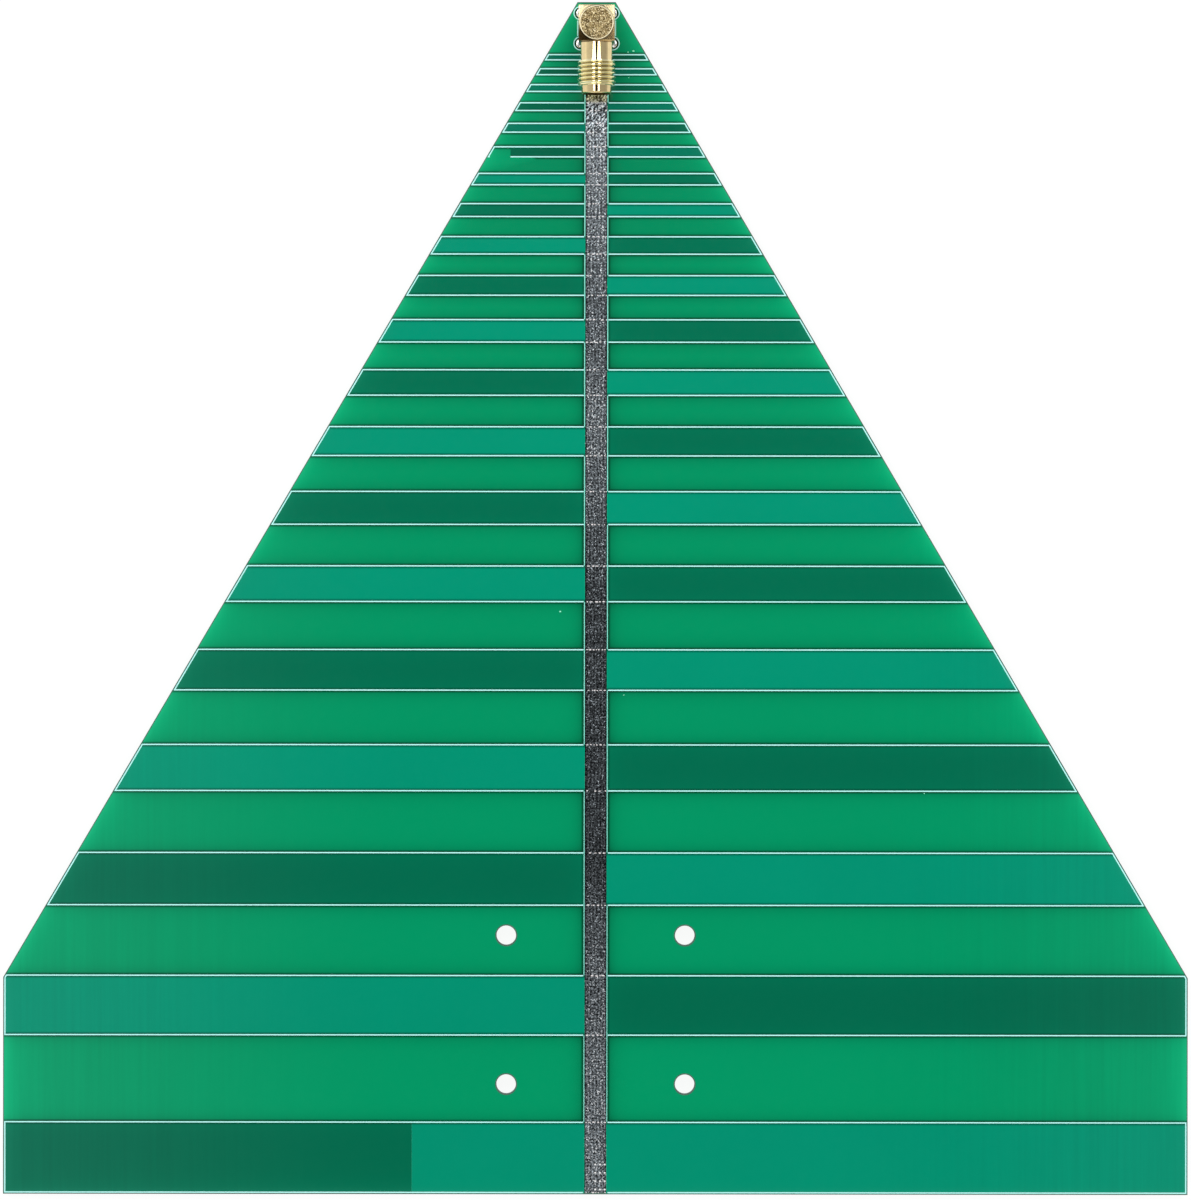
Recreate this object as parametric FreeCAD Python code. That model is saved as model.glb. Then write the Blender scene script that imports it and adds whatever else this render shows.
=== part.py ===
import FreeCAD, Part
import math
import os

from FreeCAD import Vector

# Printed log-periodic antenna: a tapered board with copper arms on both faces,
# a tinned feed line down its middle and a right-angle coaxial jack at its tip.
#
# The board lies flat. +X is to the right, +Y runs towards the tip that holds
# the jack, and +Z points out of the front face. The origin is the centre of
# the four mounting holes, on the back face. All lengths are millimetres, and
# copper stands proud of both faces under its lacquer.

# Board outline
board_w = 199.0             # width of the parallel tail
board_l = 200.3             # tail edge to tip edge
tip_w = 6.4                 # width of the tip edge
tail_l = 36.4               # length of the parallel tail
board_t = 1.6               # lacquered thickness, where there is no copper

# Layers on each face
copper_t = 0.035
mask_t = 0.025              # lacquer, over the copper and between it
mask_side = 0.06            # lacquer on the flanks of the copper
tin_t = 0.025
ink_t = 0.015
mask_pullback = 0.15        # bare laminate rim around the lacquer
copper_pullback = 0.3       # copper keeps this far inside the board edge

# Mounting holes
hole_d = 3.3
hole_pitch_x = 30.0
hole_pitch_y = 25.0
hole_lacquer_gap = 0.2      # ring of bare laminate around each hole
holes_from_tail = 31.0      # tail edge to the centre of the pattern

# Copper pattern: element centres grow by a constant ratio from an apex that
# lies beyond the tip, and each strip is a share of its distance to that apex
boom_w = 4.0
boom_overlap = 0.15         # lacquer over each edge of the line
apex_beyond_tip = 8.5
first_centre = 17.78        # apex to the centre of the shortest element
growth = 1.1362
tip_slimness = 0.0497
middle_slimness = 0.0591
base_slimness = 0.0564
middle_from = 8             # first element with the middle slimness
base_from = 14              # first element with the base slimness
last_strip_w = 12.1         # the longest element runs to the tail edge
stub_l = 30.8               # board centre to the end of the tail stub
feed_neck_w = 2.2           # back line between the ground pads of the jack

# Printed lines
ink_w = 0.2
ring_ink_w = 0.17
pad_ring_r = 1.1            # printed circle around each ground pad
jack_frame_gap = 0.17       # printed side line to the side of the jack block
jack_frame_l = 2.6          # length of those side lines

# One arm of the back, on the left, and the print along its lower edge end early
short_arm = 5
short_arm_side = -1
short_arm_cut = 3.7         # along its lower edge

# Plated holes along the tail end of the line
via_hole_d = 0.4
via_wall = 0.04
via_columns = 3
via_rows = 4
via_pitch_x = 0.79
via_pitch_y = 1.4
via_from_tail = 0.75        # tail edge to the nearest row

# Barrel, measured from the front of the block along its axis
axis_h = 5.9                # barrel axis above the board's front
neck_l = 3.15
thread_d = 6.35
thread_l = 4.0
nose_l = 1.45
nose_wall = 0.25
nose_chamfer = 0.2
mouth_d = 4.6
mouth_depth = 1.9
insulator_d = 4.1
spigot_wall = 0.45          # wall of the end that is pressed into the block
neck_shoulder = 0.15        # step between that end and the neck

# Jack block and its legs
jack_setback = 4.4          # tip edge to the centre of the legs
block_wall = 0.5            # block beside the bore for the barrel
block_above_axis = 3.25
access_bore_d = 4.2         # upright bore through the block
leg_w = 0.6
leg_inset = 0.16            # block's front and back to its legs
leg_below = 1.5             # leg length that stands out of the back face
leg_clearance = 0.15        # leg's corners in their hole, across
pad_ring_w = 0.25
plating_t = 0.04

# Cap over the access bore
cap_margin = 0.175          # cap to the sides of the block
cap_flange_t = 0.25
cap_rim_w = 0.16
cap_recess = 0.06
cap_plug_l = 0.8

# Contacts
contact_d = 1.27
socket_d = 0.94
socket_depth = 3.0
slot_w = 0.18
slot_l = 2.2
contact_tail = 0.7          # contact length behind the centre of the legs
feed_pin_d = 0.8
fork_wall = 0.415           # forked head of the feed pin, beside the contact
fork_above_axis = 0.35
fork_below_axis = 1.5
feed_clearance = 0.2        # feed pin in its hole, across
feed_ring_w = 0.4
feed_pin_below = 1.3
antipad_gap = 0.7           # front copper stays this far from the feed hole

# Solder
fillet_h = 0.95
fillet_hollow = 0.12        # depth of the fillet's curve, as a share of its slope
solder_below_front = 0.25   # the joint ends this far inside the board
fork_solder_h = 0.35

# Places worked out from the sizes above
tail_y = -holes_from_tail
tip_y = tail_y + board_l
shoulder_y = tail_y + tail_l
apex_y = tip_y + apex_beyond_tip
jack_y = tip_y - jack_setback
core_back_z = mask_t
core_front_z = board_t - mask_t
layer_t = copper_t + mask_t
copper_front_z = core_front_z
copper_back_z = core_back_z - copper_t
raised_back_z = core_back_z - layer_t
tin_front_z = copper_front_z + copper_t
tin_back_z = copper_back_z - tin_t
seat_z = tin_front_z + max(mask_t, tin_t)
axis_z = seat_z + axis_h
boom_opening_w = boom_w - 2 * boom_overlap

# Sizes that follow from what fits into what
spigot_d = insulator_d + 2 * spigot_wall
neck_d = spigot_d + 2 * neck_shoulder
nose_d = mouth_d + 2 * nose_wall
block_w = spigot_d + 2 * block_wall
block_h = axis_h + block_above_axis
leg_pitch_x = block_w - leg_w
leg_pitch_y = block_w - leg_w - 2 * leg_inset
leg_hole_d = leg_w * math.sqrt(2) + leg_clearance
pad_d = leg_hole_d + 2 * pad_ring_w
cap_d = block_w - 2 * cap_margin
neck_end = block_w / 2 + neck_l
thread_end = neck_end + thread_l
barrel_l = thread_end + nose_l
fork_d = contact_d + 2 * fork_wall
base_insulator_h = axis_h - fork_below_axis
feed_hole_d = feed_pin_d + feed_clearance
feed_pad_d = feed_hole_d + 2 * feed_ring_w
antipad_d = feed_hole_d + 2 * antipad_gap

taper_dx = (board_w - tip_w) / 2
taper_dy = board_l - tail_l
taper_len = math.hypot(taper_dx, taper_dy)
normal_x = taper_dy / taper_len
normal_y = taper_dx / taper_len


def slant_half_width(y, inset):
    """Half width of the slanted edges at height y, moved inwards by inset."""
    edge = normal_x * board_w / 2 + normal_y * shoulder_y
    return (edge - inset - normal_y * y) / normal_x


def half_width(y, inset):
    """Half width of the outline at height y, moved inwards by inset."""
    return min(board_w / 2 - inset, slant_half_width(y, inset))


def shoulder_at(inset):
    """Height of the corner between the tail and the taper, moved inwards."""
    edge = normal_x * board_w / 2 + normal_y * shoulder_y
    return (edge - inset - normal_x * (board_w / 2 - inset)) / normal_y


def prism(points, z, height):
    """Upright prism over a closed polygon."""
    corners = [Vector(x, y, z) for x, y in points]
    wire = Part.makePolygon(corners + corners[:1])
    return Part.Face(wire).extrude(Vector(0, 0, height))


def slab(x0, x1, y0, y1, z, height):
    """Flat box between two corners."""
    return Part.makeBox(x1 - x0, y1 - y0, height, Vector(x0, y0, z))


def disc(x, y, radius, z, height):
    """Upright cylinder."""
    return Part.makeCylinder(radius, height, Vector(x, y, z))


def tube(x, y, inner_r, outer_r, z, height):
    """Upright tube."""
    return disc(x, y, outer_r, z, height).cut(disc(x, y, inner_r, z, height))


def along_barrel(radius, start, end):
    """Cylinder on the barrel axis, between two distances from the legs' centre."""
    origin = Vector(0, jack_y - start, axis_z)
    return Part.makeCylinder(radius, end - start, origin, Vector(0, -1, 0))


def outline(inset, z, height):
    """The board's outline, moved inwards by inset."""
    top, low, bend = tip_y - inset, tail_y + inset, shoulder_at(inset)
    right = [(half_width(low, inset), low), (half_width(bend, inset), bend),
             (half_width(top, inset), top)]
    left = [(-x, y) for x, y in reversed(right)]
    return prism(right + left, z, height)


def strip_edges(index):
    """Upper and lower edge that the growth law gives one element."""
    distance = first_centre * growth ** index
    if index < middle_from:
        slimness = tip_slimness
    elif index < base_from:
        slimness = middle_slimness
    else:
        slimness = base_slimness
    half = slimness * distance / 2
    return apex_y - distance + half, apex_y - distance - half


def count_elements():
    """Elements that fit above the strip at the tail, and that strip."""
    count = 0
    while strip_edges(count)[1] > tail_y + last_strip_w:
        count += 1
    return count + 1


element_count = count_elements()


def element_edges(index):
    """Upper and lower edge of one element, as heights on the board."""
    if index == element_count - 1:
        return tail_y + last_strip_w, tail_y + copper_pullback
    return strip_edges(index)


def front_side(index):
    """Side of the front face's arm: even elements to the left, odd to the right."""
    return -1 if index % 2 == 0 else 1


def arm_points(index, side, grow=0.0):
    """Corners of one arm, from the centre line out to the edge of the copper."""
    top, low = element_edges(index)
    top, low = top + grow, low - grow
    inset = copper_pullback - grow
    bend = shoulder_at(inset)
    tips = [(half_width(low, inset), low)]
    if low < bend < top:
        tips.append((half_width(bend, inset), bend))
    tips.append((half_width(top, inset), top))
    points = [(0.0, low)] + tips + [(0.0, top)]
    if side < 0:
        points = [(-x, y) for x, y in reversed(points)]
    return points


def short_arm_end():
    """Distance from the centre line where the arm that was cut short ends."""
    return half_width(element_edges(short_arm)[1], copper_pullback) - short_arm_cut


def foil_points(index, side, grow=0.0):
    """Corners of one arm's foil, with the one arm that was cut short."""
    points = arm_points(index, side, grow)
    if index == short_arm and side == short_arm_side:
        reach = short_arm_end() + grow
        points = [(max(-reach, min(reach, x)), y) for x, y in points]
    return points


def stub_strip(grow, z, height):
    """The short strip across both sides of the line at the tail."""
    top, low = element_edges(element_count - 1)
    reach = stub_l + grow
    return slab(-reach, reach, low - grow, top + grow, z, height)


def mounting_positions():
    """Centres of the four mounting holes."""
    return [(sx * hole_pitch_x / 2, sy * hole_pitch_y / 2) for sx in (-1, 1) for sy in (-1, 1)]


def leg_positions():
    """Centres of the jack's four legs."""
    return [(sx * leg_pitch_x / 2, jack_y + sy * leg_pitch_y / 2)
            for sx in (-1, 1) for sy in (-1, 1)]


def via_positions():
    """Centres of the plated holes, in columns to the right of the centre line."""
    return [(column * via_pitch_x, tail_y + via_from_tail + row * via_pitch_y)
            for column in range(via_columns) for row in range(via_rows)]


def mounting_drills(gap):
    """Cutters for the mounting holes, wider by gap all round, through the whole board."""
    radius = hole_d / 2 + gap
    return [disc(x, y, radius, -board_t, 3 * board_t) for x, y in mounting_positions()]


def plated_drills():
    """Cutters for every plated hole, through the whole board."""
    legs = [disc(x, y, leg_hole_d / 2 + plating_t, -board_t, 3 * board_t)
            for x, y in leg_positions()]
    vias = [disc(x, y, via_hole_d / 2 + via_wall, -board_t, 3 * board_t)
            for x, y in via_positions()]
    feed = disc(0, jack_y, feed_hole_d / 2 + plating_t, -board_t, 3 * board_t)
    return legs + vias + [feed]


def fr4_core():
    """The glass-epoxy board itself, drilled."""
    core = outline(0.0, core_back_z, core_front_z - core_back_z)
    return core.cut(mounting_drills(0.0) + plated_drills())


def copper_layer(z, direction, feed_shape):
    """Line, arms and tail stub of one face; direction swaps left and right."""
    boom = slab(-boom_w / 2, boom_w / 2, tail_y + copper_pullback, jack_y - leg_pitch_y / 2 - pad_d,
                z, copper_t)
    pieces = [prism(foil_points(n, direction * front_side(n)), z, copper_t)
              for n in range(element_count)]
    pieces.append(stub_strip(0.0, z, copper_t))
    return boom.fuse(pieces + feed_shape)


def front_land():
    """Front copper under the jack: four pads and the ground land they share."""
    reach_x, reach_y = leg_pitch_x / 2, leg_pitch_y / 2
    low = jack_y - reach_y - pad_d
    shapes = [slab(-reach_x, reach_x, jack_y - reach_y, jack_y + reach_y, copper_front_z, copper_t),
              slab(-boom_w / 2, boom_w / 2, low, jack_y, copper_front_z, copper_t)]
    return shapes + [disc(x, y, pad_d / 2, copper_front_z, copper_t) for x, y in leg_positions()]


def back_feed():
    """Back copper under the jack: a narrow neck up to the feed pad."""
    low = jack_y - leg_pitch_y / 2 - pad_d
    return [slab(-feed_neck_w / 2, feed_neck_w / 2, low, jack_y, copper_back_z, copper_t),
            disc(0, jack_y, feed_pad_d / 2, copper_back_z, copper_t)]


def front_copper():
    """Etched foil of the front face."""
    foil = copper_layer(copper_front_z, 1, front_land()).removeSplitter()
    antipad = disc(0, jack_y, antipad_d / 2, copper_front_z, copper_t)
    return foil.cut(mounting_drills(copper_pullback) + plated_drills() + [antipad])


def back_copper():
    """Etched foil of the back face, with four ground pads of its own."""
    foil = copper_layer(copper_back_z, -1, back_feed()).removeSplitter()
    foil = foil.cut(mounting_drills(copper_pullback) + plated_drills())
    hole_r = leg_hole_d / 2 + plating_t
    pads = [disc(x, y, pad_d / 2, copper_back_z, copper_t).cut(
        disc(x, y, hole_r, copper_back_z, copper_t)) for x, y in leg_positions()]
    return Part.makeCompound(foil.Solids + pads)


def strip_opening(z, height):
    """The bare strip down the line, from the tail to the jack."""
    half = boom_opening_w / 2
    return slab(-half, half, tail_y + copper_pullback, jack_y - leg_pitch_y / 2, z, height)


def front_openings(z, height):
    """Openings in the front lacquer: strip, land and pads."""
    reach_x, reach_y = leg_pitch_x / 2, leg_pitch_y / 2
    land = slab(-reach_x, reach_x, jack_y - reach_y, jack_y + reach_y, z, height)
    return [strip_opening(z, height), land] + [disc(x, y, pad_d / 2, z, height)
                                               for x, y in leg_positions()]


def back_openings(z, height):
    """Openings in the back lacquer: strip, neck, feed pad and ground pads."""
    low = tail_y + copper_pullback
    strip = slab(-boom_opening_w / 2, boom_opening_w / 2, low,
                 jack_y - leg_pitch_y / 2 - pad_d, z, height)
    neck = slab(-feed_neck_w / 2, feed_neck_w / 2, low, jack_y, z, height)
    pads = [disc(x, y, pad_d / 2, z, height) for x, y in leg_positions()]
    return [strip, neck, disc(0, jack_y, feed_pad_d / 2, z, height)] + pads


def mask(z, film_z, direction, openings, copper):
    """Lacquer of one face: a film on the board that rises over the copper."""
    film = outline(mask_pullback, film_z, mask_t)
    half = boom_w / 2 + mask_side
    covers = [slab(-half, half, tail_y, jack_y, z, layer_t), stub_strip(mask_side, z, layer_t)]
    covers += [prism(foil_points(n, direction * front_side(n), mask_side), z, layer_t)
               for n in range(element_count)]
    film = film.fuse(covers).removeSplitter().common(outline(mask_pullback, z, layer_t))
    holes = mounting_drills(hole_lacquer_gap) + plated_drills()
    return film.cut(openings + holes + copper.Solids)


def front_solder_mask(copper):
    """Green lacquer of the front face."""
    return mask(core_front_z, core_front_z, 1, front_openings(core_front_z, layer_t), copper)


def back_solder_mask(copper):
    """Green lacquer of the back face."""
    return mask(raised_back_z, 0.0, -1, back_openings(raised_back_z, layer_t), copper)


def tin_layer(openings):
    """Tin over the bare copper of one face."""
    coat = openings[0].fuse(openings[1:]).removeSplitter()
    return coat.cut(plated_drills())


def front_tin():
    """Tin on the front line, the land and the four pads."""
    antipad = disc(0, jack_y, antipad_d / 2, tin_front_z, tin_t)
    return tin_layer(front_openings(tin_front_z, tin_t)).cut(antipad)


def back_tin():
    """Tin on the back line, the feed pad and the four ground pads."""
    return tin_layer(back_openings(tin_back_z, tin_t))


def arm_frame(index, side):
    """Printed line around one arm, open at the tinned line, bedded on the lacquer."""
    covers = []
    if side == front_side(index):
        covers.append(prism(arm_points(index, side, mask_side), board_t, copper_t))
    if index == element_count - 1:
        covers.append(stub_strip(mask_side, board_t, copper_t))
    height = copper_t + ink_t if covers else ink_t
    outer = prism(arm_points(index, side, ink_w / 2), board_t, height)
    inner = prism(arm_points(index, side, -ink_w / 2), board_t, height)
    half = boom_w / 2 + mask_side
    clear = slab(-half, half, tail_y, tip_y, board_t, height)
    frame = outer.cut([inner, clear] + covers)
    if index == short_arm and side == short_arm_side:
        low = element_edges(index)[1]
        near, far = sorted(side * x for x in (short_arm_end(),
                                              half_width(low, copper_pullback) - ink_w))
        frame = frame.cut(slab(near, far, low - ink_w, low + ink_w / 2, board_t, height))
    return frame.Solids


def jack_print():
    """Printed circles around the front pads and the two side lines between them."""
    half = ring_ink_w / 2
    edge = outline(mask_pullback, board_t, ink_t)
    side_x = block_w / 2 + jack_frame_gap
    sides = [slab(sx * side_x - half, sx * side_x + half, jack_y - jack_frame_l / 2,
                  jack_y + jack_frame_l / 2, board_t, ink_t) for sx in (-1, 1)]
    under_block = slab(-block_w / 2, block_w / 2, jack_y - block_w / 2, jack_y + block_w / 2,
                       board_t, ink_t)
    cover_half = boom_w / 2 + mask_side
    strip = slab(-cover_half, cover_half, tail_y, jack_y, board_t, ink_t)
    rings = []
    for x, y in leg_positions():
        ring = tube(x, y, pad_ring_r - half, pad_ring_r + half, board_t, ink_t)
        rings += ring.cut([under_block, strip]).common(edge).Solids
    return sides + rings


def front_silkscreen():
    """White printed lines of the front face, as separate strokes in one node."""
    strokes = []
    for index in range(element_count):
        strokes += arm_frame(index, -1) + arm_frame(index, 1)
    lines = Part.makeCompound(strokes).cut(mounting_drills(hole_lacquer_gap))
    return Part.makeCompound(lines.Solids + jack_print())


def leg_hole_platings():
    """Copper barrels of the four ground holes."""
    radius = leg_hole_d / 2
    height = tin_front_z + tin_t - tin_back_z
    return Part.makeCompound([tube(x, y, radius, radius + plating_t, tin_back_z, height)
                              for x, y in leg_positions()])


def feed_hole_plating():
    """Copper barrel of the feed hole."""
    radius = feed_hole_d / 2
    return tube(0, jack_y, radius, radius + plating_t, tin_back_z, core_front_z - tin_back_z)


def termination_vias():
    """Plated holes that join the two faces at the tail."""
    radius = via_hole_d / 2
    height = tin_front_z + tin_t - tin_back_z
    return Part.makeCompound([tube(x, y, radius, radius + via_wall, tin_back_z, height)
                              for x, y in via_positions()])


def jack_body():
    """Cast block with its four legs, the access bore and the bore for the barrel."""
    half = block_w / 2
    block = slab(-half, half, jack_y - half, jack_y + half, seat_z, block_h)
    legs = [slab(x - leg_w / 2, x + leg_w / 2, y - leg_w / 2, y + leg_w / 2,
                 -leg_below, seat_z + leg_below) for x, y in leg_positions()]
    access = disc(0, jack_y, access_bore_d / 2, seat_z, block_h)
    seat = along_barrel(spigot_d / 2, access_bore_d / 2, half)
    throat = along_barrel(insulator_d / 2, 0.0, half)
    return block.fuse(legs).removeSplitter().cut([access, seat, throat])


def jack_cap():
    """Round cap pressed into the access bore, with a raised rim."""
    top = seat_z + block_h
    flange = disc(0, jack_y, cap_d / 2, top, cap_flange_t)
    recess = disc(0, jack_y, cap_d / 2 - cap_rim_w, top + cap_flange_t - cap_recess, cap_recess)
    plug = disc(0, jack_y, access_bore_d / 2, top - cap_plug_l, cap_plug_l)
    return flange.fuse(plug).cut(recess)


def jack_barrel():
    """Turned barrel: spigot, neck, thread at its major diameter, nose and mouth."""
    half = block_w / 2
    spigot = along_barrel(spigot_d / 2, access_bore_d / 2, half)
    neck = along_barrel(neck_d / 2, half, neck_end)
    thread = along_barrel(thread_d / 2, neck_end, thread_end)
    nose = along_barrel(nose_d / 2, thread_end, barrel_l - nose_chamfer)
    chamfer = Part.makeCone(nose_d / 2, nose_d / 2 - nose_chamfer, nose_chamfer,
                            Vector(0, jack_y - barrel_l + nose_chamfer, axis_z), Vector(0, -1, 0))
    solid = spigot.fuse([neck, thread, nose, chamfer]).removeSplitter()
    through = along_barrel(insulator_d / 2, 0.0, barrel_l)
    mouth = along_barrel(mouth_d / 2, barrel_l - mouth_depth, barrel_l)
    return solid.cut([through, mouth])


def barrel_insulator():
    """White sleeve that holds the contact in the barrel."""
    sleeve = along_barrel(insulator_d / 2, access_bore_d / 2, barrel_l - mouth_depth)
    return sleeve.cut(along_barrel(contact_d / 2, 0.0, barrel_l))


def base_insulator():
    """White plug in the block that holds the feed pin."""
    plug = disc(0, jack_y, access_bore_d / 2, seat_z, base_insulator_h)
    return plug.cut(disc(0, jack_y, feed_pin_d / 2, seat_z, base_insulator_h))


def centre_contact():
    """Gold contact with a slotted socket at the mouth."""
    end = barrel_l - mouth_depth
    rod = along_barrel(contact_d / 2, -contact_tail, end)
    socket = along_barrel(socket_d / 2, end - socket_depth, end)
    y = jack_y - end
    reach = contact_d
    flat = Part.makeBox(2 * reach, slot_l, slot_w, Vector(-reach, y, axis_z - slot_w / 2))
    upright = Part.makeBox(slot_w, slot_l, 2 * reach, Vector(-slot_w / 2, y, axis_z - reach))
    return rod.cut([socket, flat, upright])


def feed_pin():
    """Upright pin with a forked head that carries the contact."""
    fork_base = seat_z + base_insulator_h
    fork_top = axis_z + fork_above_axis
    pin = disc(0, jack_y, feed_pin_d / 2, -feed_pin_below, fork_base + feed_pin_below)
    head = disc(0, jack_y, fork_d / 2, fork_base, fork_top - fork_base)
    half = contact_d / 2
    groove = slab(-half, half, jack_y - fork_d, jack_y + fork_d, axis_z, fork_top - axis_z)
    bed = along_barrel(half, -fork_d, fork_d)
    return pin.fuse(head).cut([groove, bed])


def contact_solder():
    """Solder that fills the fork over the contact."""
    half = contact_d / 2
    fork_top = axis_z + fork_above_axis
    fill = disc(0, jack_y, fork_d / 2, axis_z, fork_top - axis_z)
    fill = fill.common(slab(-half, half, jack_y - fork_d, jack_y + fork_d, axis_z, fork_top))
    crown = Part.makeCone(fork_d / 2, contact_d / 2, fork_solder_h, Vector(0, jack_y, fork_top))
    contact = along_barrel(half, -2 * fork_d, 2 * fork_d)
    return fill.fuse(crown).removeSplitter().cut(contact)


def solder_joint(x, y, wide_r, hole_r, tip_r, height, top_z):
    """Hollow-sided solder cone under a pad, with its stem in the hole."""
    root = tin_back_z
    start = Vector(wide_r, 0, root)
    end = Vector(tip_r, 0, root - height)
    inwards = Vector(-height, 0, wide_r - tip_r) * fillet_hollow
    middle = (start + end) * 0.5 + inwards
    edges = [Part.Arc(start, middle, end).toShape(),
             Part.makeLine(end, Vector(0, 0, end.z)),
             Part.makeLine(Vector(0, 0, end.z), Vector(0, 0, top_z)),
             Part.makeLine(Vector(0, 0, top_z), Vector(hole_r, 0, top_z)),
             Part.makeLine(Vector(hole_r, 0, top_z), Vector(hole_r, 0, root)),
             Part.makeLine(Vector(hole_r, 0, root), start)]
    cone = Part.Face(Part.Wire(edges)).revolve(Vector(0, 0, 0), Vector(0, 0, 1), 360)
    cone.translate(Vector(x, y, 0))
    return cone


def ground_solder(x, y, body):
    """Solder joint around one leg of the jack."""
    tip_r = leg_w * math.sqrt(0.5) + plating_t
    joint = solder_joint(x, y, pad_d / 2, leg_hole_d / 2, tip_r, fillet_h,
                         board_t - solder_below_front)
    return joint.cut(body)


def feed_solder(pin):
    """Solder joint around the feed pin."""
    tip_r = feed_pin_d / 2 + plating_t
    joint = solder_joint(0, jack_y, feed_pad_d / 2, feed_hole_d / 2, tip_r, fillet_h,
                         core_front_z - solder_below_front)
    return joint.cut(pin)


def main():
    """Build every piece and write one STEP file for each."""
    os.makedirs("parts", exist_ok=True)
    front, back = front_copper(), back_copper()
    body, pin = jack_body(), feed_pin()
    pieces = {
        "fr4_core": fr4_core(),
        "front_copper": front,
        "back_copper": back,
        "front_solder_mask": front_solder_mask(front),
        "back_solder_mask": back_solder_mask(back),
        "front_tin": front_tin(),
        "back_tin": back_tin(),
        "front_silkscreen": front_silkscreen(),
        "leg_hole_platings": leg_hole_platings(),
        "feed_hole_plating": feed_hole_plating(),
        "termination_vias": termination_vias(),
        "jack_body": body,
        "jack_cap": jack_cap(),
        "jack_barrel": jack_barrel(),
        "barrel_insulator": barrel_insulator(),
        "base_insulator": base_insulator(),
        "centre_contact": centre_contact(),
        "feed_pin": pin,
        "contact_solder": contact_solder(),
        "feed_solder": feed_solder(pin),
    }
    corners = ("tail_left", "tip_left", "tail_right", "tip_right")
    for corner, (x, y) in zip(corners, leg_positions()):
        pieces["ground_solder_" + corner] = ground_solder(x, y, body)
    for name, shape in pieces.items():
        shape.exportStep("parts/" + name + ".step")
        print(name, "solids", len(shape.Solids), "valid", shape.isValid(),
              "volume", round(shape.Volume, 4))


main()
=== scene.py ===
"""Looks of a printed log-periodic antenna with a right-angle coaxial jack at its tip.

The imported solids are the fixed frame. This script lays the lacquer of both faces
over the laminate as closed fields in three tones, prints and tins the line, turns
the jack's barrel, cap and block with their true edges and thread, and gives every
other solid its finish. Sizes are millimetres until a mesh is made.
"""

import logging
import math
from dataclasses import dataclass, field
from enum import Enum
from typing import Callable, Iterable, Optional, Sequence

import bmesh
import bpy
import numpy as np
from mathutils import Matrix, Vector
from mathutils.geometry import delaunay_2d_cdt


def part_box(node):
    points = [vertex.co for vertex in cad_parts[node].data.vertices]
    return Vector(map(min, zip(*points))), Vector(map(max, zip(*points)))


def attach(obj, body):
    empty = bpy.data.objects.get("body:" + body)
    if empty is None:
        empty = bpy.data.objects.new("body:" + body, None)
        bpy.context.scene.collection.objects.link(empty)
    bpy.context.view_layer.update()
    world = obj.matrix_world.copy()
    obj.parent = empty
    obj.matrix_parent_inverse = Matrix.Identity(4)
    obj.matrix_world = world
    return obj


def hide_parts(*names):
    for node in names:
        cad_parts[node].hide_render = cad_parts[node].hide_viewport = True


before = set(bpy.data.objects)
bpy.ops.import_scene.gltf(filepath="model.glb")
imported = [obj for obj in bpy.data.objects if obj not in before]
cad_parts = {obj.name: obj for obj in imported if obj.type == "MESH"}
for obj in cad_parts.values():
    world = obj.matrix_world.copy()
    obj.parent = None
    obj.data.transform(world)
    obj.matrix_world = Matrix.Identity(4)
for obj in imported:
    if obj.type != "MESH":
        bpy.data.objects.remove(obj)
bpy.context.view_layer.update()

LOG = logging.getLogger("antenna")
MM = 0.001
BODY = "root"
NOT_NEAR = 50.0             # a distance beyond the reach of every look, in millimetres
HOLE_SPOT = (15.0, 12.5)    # a mounting hole from the middle of the four
LEG_SPOT = (2.7, 2.54)      # a leg of the jack from the middle of the four
BACK_NECK = 1.1             # half width of the bare neck that leads to the feed pin

Colour = tuple[float, float, float]
Pair = tuple[float, float]


class Face(Enum):
    """A face of the board, as the sign of Z that it looks along."""

    FRONT = 1
    BACK = -1


class Side(Enum):
    """A side of the tinned line, as the sign of X."""

    LEFT = -1
    RIGHT = 1


class Tone(Enum):
    """What lies under the lacquer: only laminate, this face's foil or the far face's, or
    the edge of the tinned line's foil."""

    BARE = "bare"
    NEAR_FOIL = "near_foil"
    FAR_FOIL = "far_foil"
    LIP = "lip"


def srgb(red: float, green: float, blue: float) -> Colour:
    """Linear colour of a display colour from 0 to 255: the power curve of sRGB.

    Args:
        red: display red.
        green: display green.
        blue: display blue.

    Returns:
        The three linear values.
    """
    parts = np.array([red, green, blue]) / 255.0
    linear = np.where(parts <= 0.04045, parts / 12.92, ((parts + 0.055) / 1.055) ** 2.4)
    return tuple(float(part) for part in linear)


def box_mm(node: str) -> tuple[np.ndarray, np.ndarray]:
    """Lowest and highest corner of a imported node, in millimetres."""
    low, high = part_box(node)
    return np.array(low) / MM, np.array(high) / MM


def half_width_mm(node: str) -> float:
    """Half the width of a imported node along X: the radius of a round joint."""
    low, high = box_mm(node)
    return float(high[0] - low[0]) / 2


# Meshes


@dataclass
class Patch:
    """Points in millimetres and the faces that join them."""

    points: np.ndarray
    faces: list[tuple[int, ...]]


def quad_patch(x: np.ndarray, y: np.ndarray, z: np.ndarray,
               corners: Sequence[np.ndarray]) -> Patch:
    """Quads over a grid of points.

    Args:
        x: X of each grid point, rows by columns.
        y: Y of each grid point.
        z: Z of each grid point.
        corners: four arrays of one shape with the point numbers of each quad's corners.

    Returns:
        The patch.
    """
    quads = np.stack([corner.ravel() for corner in corners], axis=1)
    points = np.stack([x.ravel(), y.ravel(), z.ravel()], axis=1)
    return Patch(points, [tuple(quad) for quad in quads.tolist()])


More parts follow.
